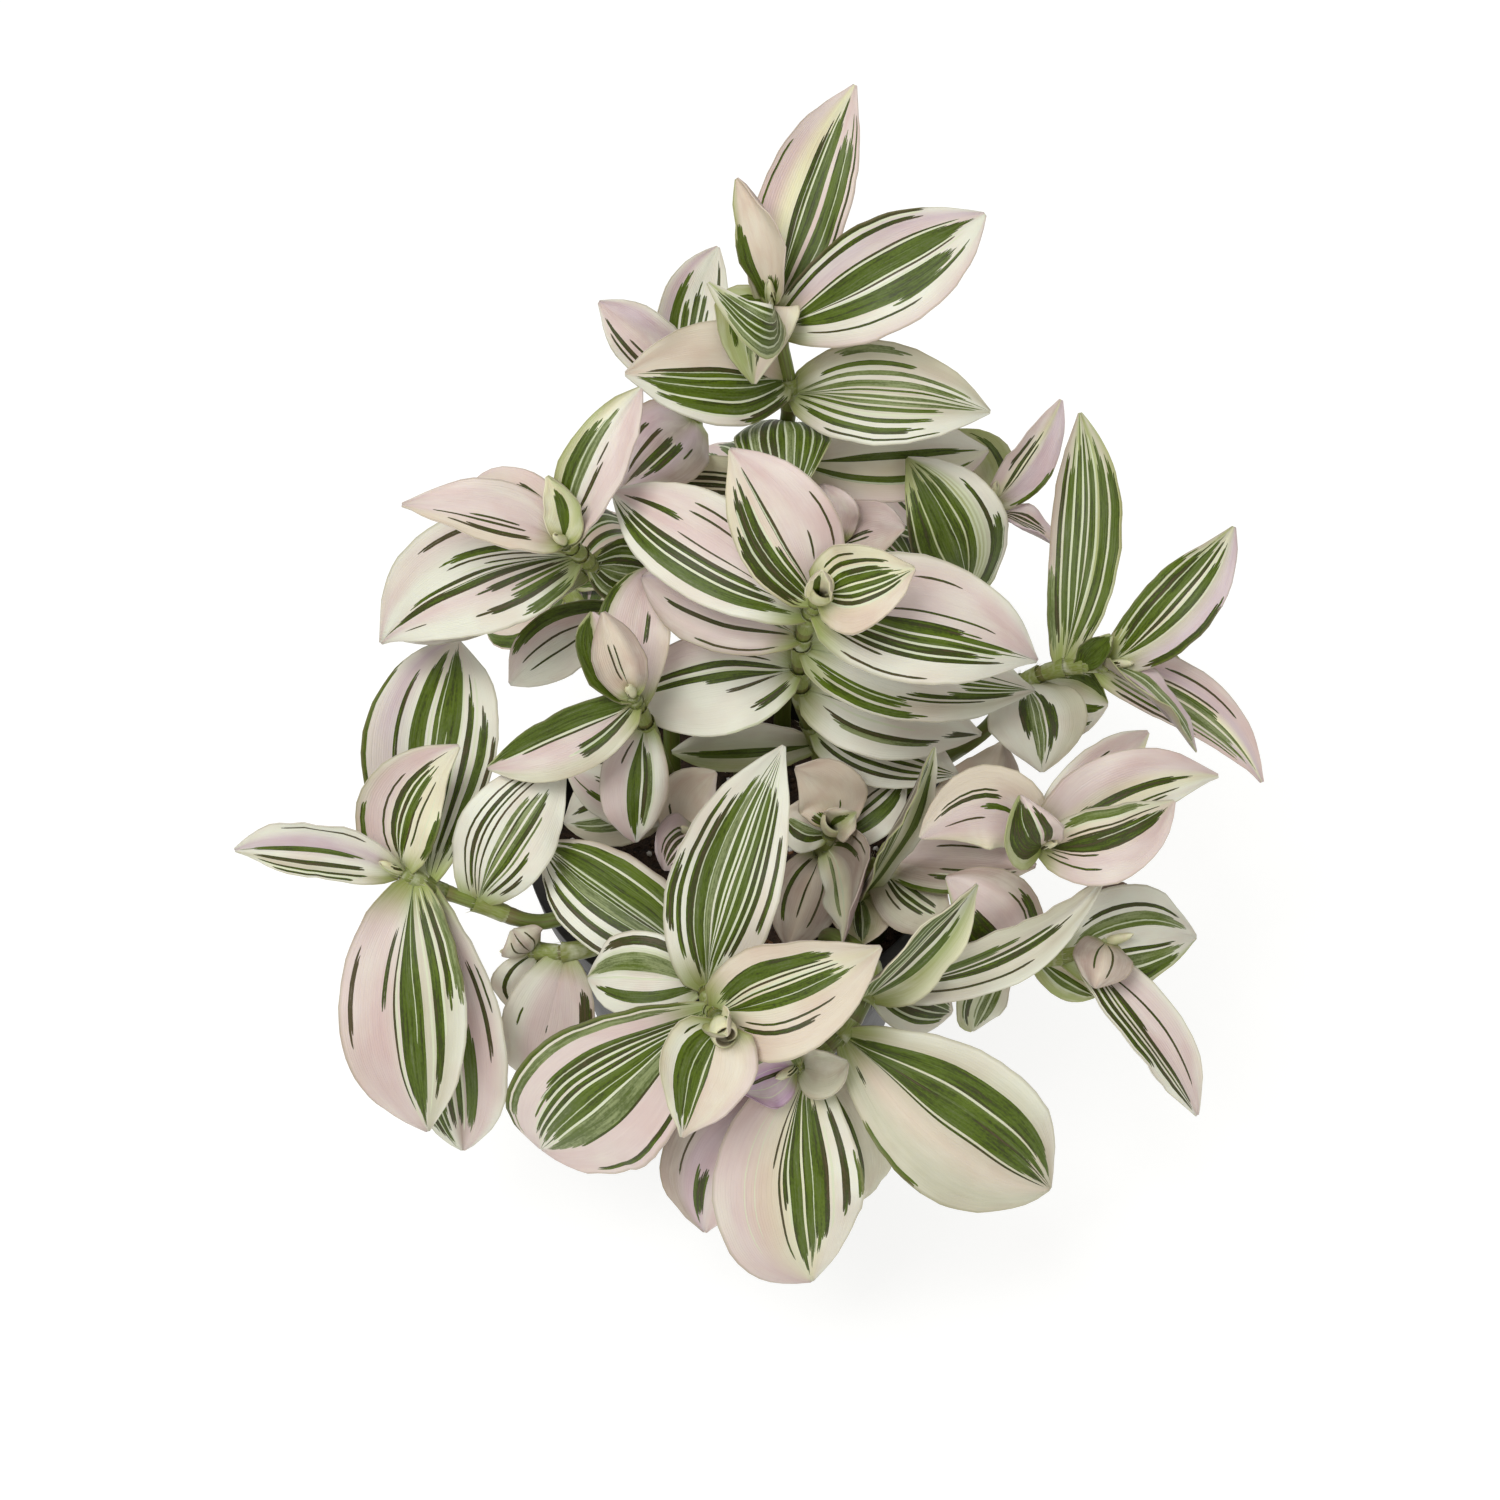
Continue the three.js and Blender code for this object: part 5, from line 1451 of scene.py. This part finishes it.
def leaf_material():
    """Green bands and olive streaks between the veins of a pale pink and cream blade."""
    nodes = Nodes("variegated_leaf")
    cell_u, cell_v = nodes.map("cell")
    u, v = nodes.map("place")
    seed = nodes.seed()
    streak, line = nodes.attribute("streak"), nodes.attribute("line")

    fine = nodes.grain(u, v, seed, 60.0, 4.0)
    slow = nodes.grain(u, v, seed, 3.0, 3.0)
    wobble = nodes.grain(u, v, seed, 40.0, 14.0)
    speckle = nodes.grain(u, v, seed, 70.0, 60.0)
    strand = nodes.grain(u, v, seed, 24.0, 5.0)
    patch = nodes.grain(u, v, nodes.plus(seed, 9.0), 4.0, 2.5, 3.0)

    shift = nodes.times(nodes.minus(wobble, 0.5), CELL_WANDER)
    shift = nodes.plus(shift, nodes.times(nodes.minus(speckle, 0.5), GRAIN_WANDER))
    middle = nodes.plus(nodes.minus(cell_u, 0.5), shift)
    across = nodes.times(nodes.math("ABSOLUTE", middle), 2.0)
    along = nodes.plus(cell_v, nodes.times(shift, ENDS_WANDER))
    streaked = streak_mask(nodes, streak, across, along)
    lined = streak_mask(nodes, line, across, along)

    ground = nodes.attribute("tint").outputs["Color"]
    # Fine pale streaks along the veins: partly vein colour, partly painted sheen.
    ground = nodes.mix(nodes.spread(fine, 0.35, 0.75, 0.0, 0.12), ground, colour(*PALE_VEIN_SHEEN))
    ground = nodes.mix(nodes.spread(slow, 0.4, 0.7, 0.0, 0.6), ground, colour(*BLUSH), "MULTIPLY")
    ground = nodes.mix(nodes.spread(patch, 0.5, 0.75, 0.0, 0.5), ground, colour(*CREAM))

    tone = streak.outputs["Alpha"]
    for noise, reach in ((fine, 0.14), (speckle, 0.1), (strand, 0.18)):
        tone = nodes.plus(tone, nodes.spread(noise, 0.3, 0.7, -reach, reach))
    fresh = nodes.times(nodes.spread(patch, 0.5, 0.66, 0.0, 0.5), nodes.spread(tone, 0.3, 0.45, 0.0, 1.0))
    green = nodes.mix(fresh, nodes.ramp(tone, GREENS), colour(*FRESH_GREEN))

    upper = nodes.mix(streaked, ground, green)
    upper = nodes.mix(nodes.times(lined, 0.8), upper, colour(*PALE_LINE))
    # Each face darkens towards an olive line at its edge, partly the blade's own edge colour and partly
    # painted shade.
    off_middle = nodes.math("ABSOLUTE", nodes.minus(u, 0.5))
    upper = nodes.mix(nodes.spread(off_middle, 0.476, 0.5, 0.0, 0.55), upper, colour(*MARGIN_AND_EDGE_SHADE))
    lower = nodes.mix(0.45, upper, colour(*UNDERSIDE))
    shade = nodes.mix(nodes.attribute("side").outputs["Fac"], lower, upper)
    roughness = nodes.spread(fine, 0.2, 0.8, 0.4, 0.52)
    height = nodes.plus(nodes.times(across, 0.3), fine)
    return nodes.finish(
        shade, roughness, height, 0.00008, Specular_IOR_Level=0.3,
        Subsurface_Weight=0.12, Subsurface_Scale=0.0012, Subsurface_Radius=(1.0, 0.9, 0.5),
    )


def stem_material():
    """A fleshy stem with brown and pale fibres."""
    nodes = Nodes("stem")
    fibres = nodes.grain(*nodes.map("place"), nodes.seed(), 24.0, 9.0)
    shade = nodes.attribute("tint").outputs["Color"]
    shade = nodes.mix(nodes.spread(fibres, 0.45, 0.7, 0.0, 0.6), shade, colour(96, 76, 48))
    shade = nodes.mix(nodes.spread(fibres, 0.2, 0.4, 0.4, 0.0), shade, colour(150, 154, 96))
    return nodes.finish(
        shade, 0.42, fibres, 0.00015,
        Subsurface_Weight=0.08, Subsurface_Scale=0.0015, Subsurface_Radius=(1.0, 0.9, 0.4),
    )


def soil_material():
    """Dark peat with brown fibres."""
    nodes = Nodes("potting_soil")
    place = nodes.object_place()
    coarse, fine = nodes.noise(place, 500.0, 6.0), nodes.noise(place, 1800.0, 4.0)
    shade = nodes.mix(nodes.spread(coarse, 0.35, 0.65, 0.0, 1.0), colour(34, 25, 18), colour(72, 52, 36))
    shade = nodes.mix(nodes.spread(fine, 0.6, 0.75, 0.0, 0.5), shade, colour(112, 88, 62))
    return nodes.finish(shade, 0.95, nodes.plus(coarse, fine), 0.0008)


def crumb_material(name, dark, light, scale):
    nodes = Nodes(name)
    grain = nodes.noise(nodes.object_place(), scale, 4.0)
    shade = nodes.mix(nodes.spread(grain, 0.35, 0.65, 0.0, 1.0), colour(*dark), colour(*light))
    return nodes.finish(shade, 0.92, grain, 0.0004)


def pot_material():
    """Black moulded plastic, slightly dusty, with faint drawn streaks down its wall."""
    nodes = Nodes("pot_plastic")
    place = nodes.object_place()
    grain = nodes.noise(place, 900.0, 3.0)
    dust = nodes.noise(place, 38.0, 5.0)
    drawn = nodes.noise(nodes.add("Mapping", Vector=place, Scale=(1.0, 1.0, 0.12)).outputs[0], 420.0, 3.0)
    shade = nodes.mix(nodes.spread(drawn, 0.4, 0.7, 0.0, 0.5), colour(20, 20, 19), colour(32, 31, 29))
    shade = nodes.mix(nodes.spread(dust, 0.5, 0.8, 0.0, 0.2), shade, colour(104, 92, 74))
    roughness = nodes.spread(dust, 0.3, 0.7, 0.42, 0.62)
    return nodes.finish(shade, roughness, nodes.plus(grain, drawn), 0.00012)


def floor_material():
    nodes = Nodes("pale_floor")
    grain = nodes.noise(nodes.object_place(), 60.0, 3.0)
    shade = nodes.mix(grain, colour(146, 146, 144), colour(152, 152, 150))
    return nodes.finish(
        shade, 0.8, grain, 0.00005, Specular_IOR_Level=0.0,
        Emission_Color=(1, 1, 0.99, 1), Emission_Strength=0.8,
    )


def plain_mesh(name, points, faces, material):
    """A mesh object in metres from points in millimetres."""
    mesh = bpy.data.meshes.new(name)
    mesh.from_pydata((np.asarray(points) * MM).tolist(), [], faces)
    mesh.validate()
    mesh.shade_smooth()
    mesh.materials.append(material)
    made = bpy.data.objects.new(name, mesh)
    bpy.context.scene.collection.objects.link(made)
    return made


def outer_radius(height):
    return BASE_RADIUS + (RIM_RADIUS - BASE_RADIUS) * height / POT_HEIGHT


ROUND_STEPS = 4
MOST_CUT = 1 / 2.2


def rounded(corners, radius):
    """A profile of (radius, height) corners with each inner corner rounded."""
    corners = np.array(corners, float)
    points = [corners[0]]
    for before, here, after in zip(corners[:-2], corners[1:-1], corners[2:]):
        back, ahead = before - here, after - here
        cut = min(radius, np.linalg.norm(back) * MOST_CUT, np.linalg.norm(ahead) * MOST_CUT)
        start, end = here + unit(back) * cut, here + unit(ahead) * cut
        for t in np.linspace(0, 1, ROUND_STEPS + 1):
            points.append(start * (1 - t) ** 2 + here * 2 * t * (1 - t) + end * t * t)
    points.append(corners[-1])
    return np.array(points)


def turned(profile, sides):
    """Rings of points of a closed body turned from a profile that starts and ends on the axis."""
    turn = 2 * math.pi * np.arange(sides) / sides
    radius, height = profile.T
    return np.stack([
        np.multiply.outer(radius, np.cos(turn)),
        np.multiply.outer(radius, np.sin(turn)),
        np.repeat(height[:, None], sides, 1),
    ], -1)


SAME_PLACE = 1e-7


def turned_mesh(name, rings, material):
    """A mesh object from rings of points, with the ends on the axis merged."""
    quads, _, _ = grid_quads(*rings.shape[:2], wrap=True)
    made = plain_mesh(name, rings.reshape(-1, 3), quads.tolist(), material)
    bpy.context.view_layer.objects.active = made
    mesh = bmesh.new()
    mesh.from_mesh(made.data)
    bmesh.ops.remove_doubles(mesh, verts=mesh.verts, dist=SAME_PLACE)
    mesh.to_mesh(made.data)
    mesh.free()
    return made


POT_SIDES = 144
POT_ROUND = 0.7
POT_SHARP_EDGE = math.radians(40)

# Its foot's inner edge and height, its two ribs, and their profile as rises and shares of their depth.
FOOT_WIDTH = (5, 4)
FOOT_HEIGHT = 0.6
RIB_HEIGHTS = (58, 66)
RIB = 0.35
RIB_PROFILE = ((-1.2, 0), (-0.4, 1), (0.4, 1), (1.2, 0))
DRILL_SIDES = 40


def drain_hole(pot, turn):
    bpy.ops.mesh.primitive_cylinder_add(
        vertices=DRILL_SIDES, radius=DRAIN_RADIUS * MM, depth=6 * FLOOR * MM,
        location=(DRAIN_CIRCLE * MM * math.cos(turn), DRAIN_CIRCLE * MM * math.sin(turn), 0),
    )
    drill = bpy.context.active_object
    cut = pot.modifiers.new("drain", "BOOLEAN")
    cut.operation, cut.solver, cut.object = "DIFFERENCE", "EXACT", drill
    bpy.context.view_layer.objects.active = pot
    bpy.ops.object.modifier_apply(modifier=cut.name)
    bpy.data.objects.remove(drill)


def make_pot():
    lip_bottom = POT_HEIGHT - LIP_HEIGHT
    inner, outer = (BASE_RADIUS - width for width in FOOT_WIDTH)
    corners = [(0, FOOT_HEIGHT), (inner, FOOT_HEIGHT), (outer, 0), (BASE_RADIUS, 0)]
    corners += [
        (outer_radius(height + rise) - RIB * depth, height + rise)
        for height in RIB_HEIGHTS
        for rise, depth in RIB_PROFILE
    ]
    corners += [
        (outer_radius(lip_bottom), lip_bottom),
        (outer_radius(lip_bottom) + LIP_OUT, lip_bottom),
        (RIM_RADIUS + LIP_OUT, POT_HEIGHT),
        (RIM_RADIUS - WALL, POT_HEIGHT),
        (outer_radius(FLOOR) - WALL, FLOOR),
        (0, FLOOR),
    ]
    pot = turned_mesh("nursery_pot", turned(rounded(corners, POT_ROUND), POT_SIDES), pot_material())
    for hole in range(DRAIN_HOLES):
        drain_hole(pot, 2 * math.pi * hole / DRAIN_HOLES)
    pot.data.set_sharp_from_angle(angle=POT_SHARP_EDGE)
    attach(pot, "root")
    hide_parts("pot")


SOIL_RINGS = 44
SOIL_SIDES = 150
SOIL_ROUGH = 1.1
SOIL_LOWEST = 0.8

# What lies in the top of the soil: how many, their sizes, how long, wide and high they are for their size,
# their dark and light colour, and the scale of their grain.
LITTER = {
    "soil_crumbs": (900, (0.5, 1.7), (1, 1, 0.8), (40, 29, 21), (84, 62, 44), 900.0),
    "bark_chips": (70, (1.4, 3.2), (1, 0.6, 0.35), (74, 48, 30), (126, 88, 58), 600.0),
    "perlite": (60, (0.8, 1.8), (1, 1, 0.9), (214, 210, 202), (240, 238, 232), 700.0),
}
OFF_WALL = 3
LUMPY = (0.7, 1.15)
TILT = 0.4
RAISED = 0.15


def soil_height(x, y):
    """The lumpy top of the soil, within the height of its crown."""
    radius = np.hypot(x, y)
    dome = SOIL_CROWN * (1 - ramp(0.5, 1.0, radius / outer_radius(SOIL_TOP)))
    waves = (
        np.sin(0.21 * x + 1.3 * np.sin(0.17 * y)) + np.sin(0.31 * y + 2.1 + np.sin(0.23 * x))
        + 0.6 * np.sin(0.9 * x + 0.7 * y) * np.sin(0.8 * y - 0.5 * x)
        + 0.5 * np.sin(2.3 * x + 1.1 * y + 2) * np.sin(1.9 * y - 1.4 * x)
    ) / 3.1
    return SOIL_TOP + dome - SOIL_LOWEST - SOIL_ROUGH * (1 - waves) / 2


def make_litter(name, chance, count, sizes, shape, dark, light, grain):
    """Small rough lumps that lie half sunk in the top of the soil."""
    lump = bmesh.new()
    bmesh.ops.create_icosphere(lump, subdivisions=1, radius=0.5)
    corners = np.array([corner.co for corner in lump.verts])
    faces = np.array([[corner.index for corner in face.verts] for face in lump.faces])
    lump.free()
    points = []
    for _ in range(count):
        radius = math.sqrt(chance.random()) * (outer_radius(SOIL_TOP) - WALL - OFF_WALL)
        turn = chance.uniform(0, 2 * math.pi)
        x, y = radius * math.cos(turn), radius * math.sin(turn)
        size = chance.uniform(*sizes)
        rough = corners * chance.uniform(*LUMPY, (len(corners), 1)) * size * np.array(shape)
        facing = Matrix.Rotation(chance.uniform(0, 6.3), 3, "Z")
        tilt = Matrix.Rotation(chance.uniform(-TILT, TILT), 3, "X")
        middle = np.array([x, y, soil_height(x, y) + size * shape[2] * RAISED])
        points.append(rough @ np.array(facing @ tilt).T + middle)
    every_face = np.vstack([faces + index * len(corners) for index in range(count)])
    made = plain_mesh(name, np.vstack(points), every_face.tolist(), crumb_material(name, dark, light, grain))
    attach(made, "root")


def make_soil():
    bottom = FLOOR + SOIL_GAP
    foot, rim = (outer_radius(height) - WALL - SOIL_GAP for height in (bottom, SOIL_TOP - 1))
    profile = [(0, bottom), (foot, bottom)]
    profile += [(radius, SOIL_TOP) for radius in np.linspace(rim, 0, SOIL_RINGS)]
    rings = turned(np.array(profile), SOIL_SIDES)
    rings[2:, :, 2] = soil_height(rings[2:, :, 0], rings[2:, :, 1])
    soil = turned_mesh("potting_soil", rings, soil_material())
    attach(soil, "root")
    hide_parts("soil")
    chance = np.random.default_rng(7)
    for name, kind in LITTER.items():
        make_litter(name, chance, *kind)


FLOOR_SIZE = 6.0
WORLD_LIGHT = 0.4

# Each light's place and size in metres and its power.
LIGHTS = {
    "key_light": ((-0.45, -0.3, 1.3), 0.7, 11.2),
    "fill_light": ((0.3, -1.1, 0.7), 0.8, 2.4),
    "back_light": ((0.1, 0.9, 0.9), 0.8, 1.4),
}


def add_light(name, place, size, power):
    data = bpy.data.lights.new(name, "AREA")
    data.shape, data.size, data.energy = "SQUARE", size, power
    light = bpy.data.objects.new(name, data)
    light.location = place
    light.rotation_euler = (Vector(CENTRED_ON * MM) - light.location).to_track_quat("-Z", "Y").to_euler()
    bpy.context.scene.collection.objects.link(light)


def set_stage():
    """A pale floor, soft studio light and the camera."""
    bpy.ops.mesh.primitive_plane_add(size=FLOOR_SIZE)
    floor = bpy.context.active_object
    floor.name = "studio_floor"
    floor.data.materials.append(floor_material())

    world = bpy.data.worlds.new("studio")
    world.use_nodes = True
    background = world.node_tree.nodes["Background"]
    background.inputs["Color"].default_value = (1, 1, 1, 1)
    background.inputs["Strength"].default_value = WORLD_LIGHT
    bpy.context.scene.world = world
    for name, light in LIGHTS.items():
        add_light(name, *light)

    data = bpy.data.cameras.new("camera")
    data.sensor_width = 36
    data.lens = data.sensor_width * EYE_DISTANCE / (PICTURE * MM_PER_PX)
    data.clip_start, data.clip_end = 0.01, 20
    camera = bpy.data.objects.new("camera", data)
    axes = Matrix([RIGHT.tolist(), UPWARD.tolist(), TO_EYE.tolist()]).transposed()
    camera.matrix_world = Matrix.Translation(EYE * MM) @ axes.to_4x4()
    bpy.context.scene.collection.objects.link(camera)
    bpy.context.scene.camera = camera
    bpy.context.scene.view_settings.view_transform = "Standard"


set_stage()
make_pot()
make_soil()
shoot_materials = [leaf_material(), stem_material()]
for index, name in enumerate(LEAFY_STEMS):
    make_shoot(index, name, shoot_materials)

bpy.context.view_layer.update()
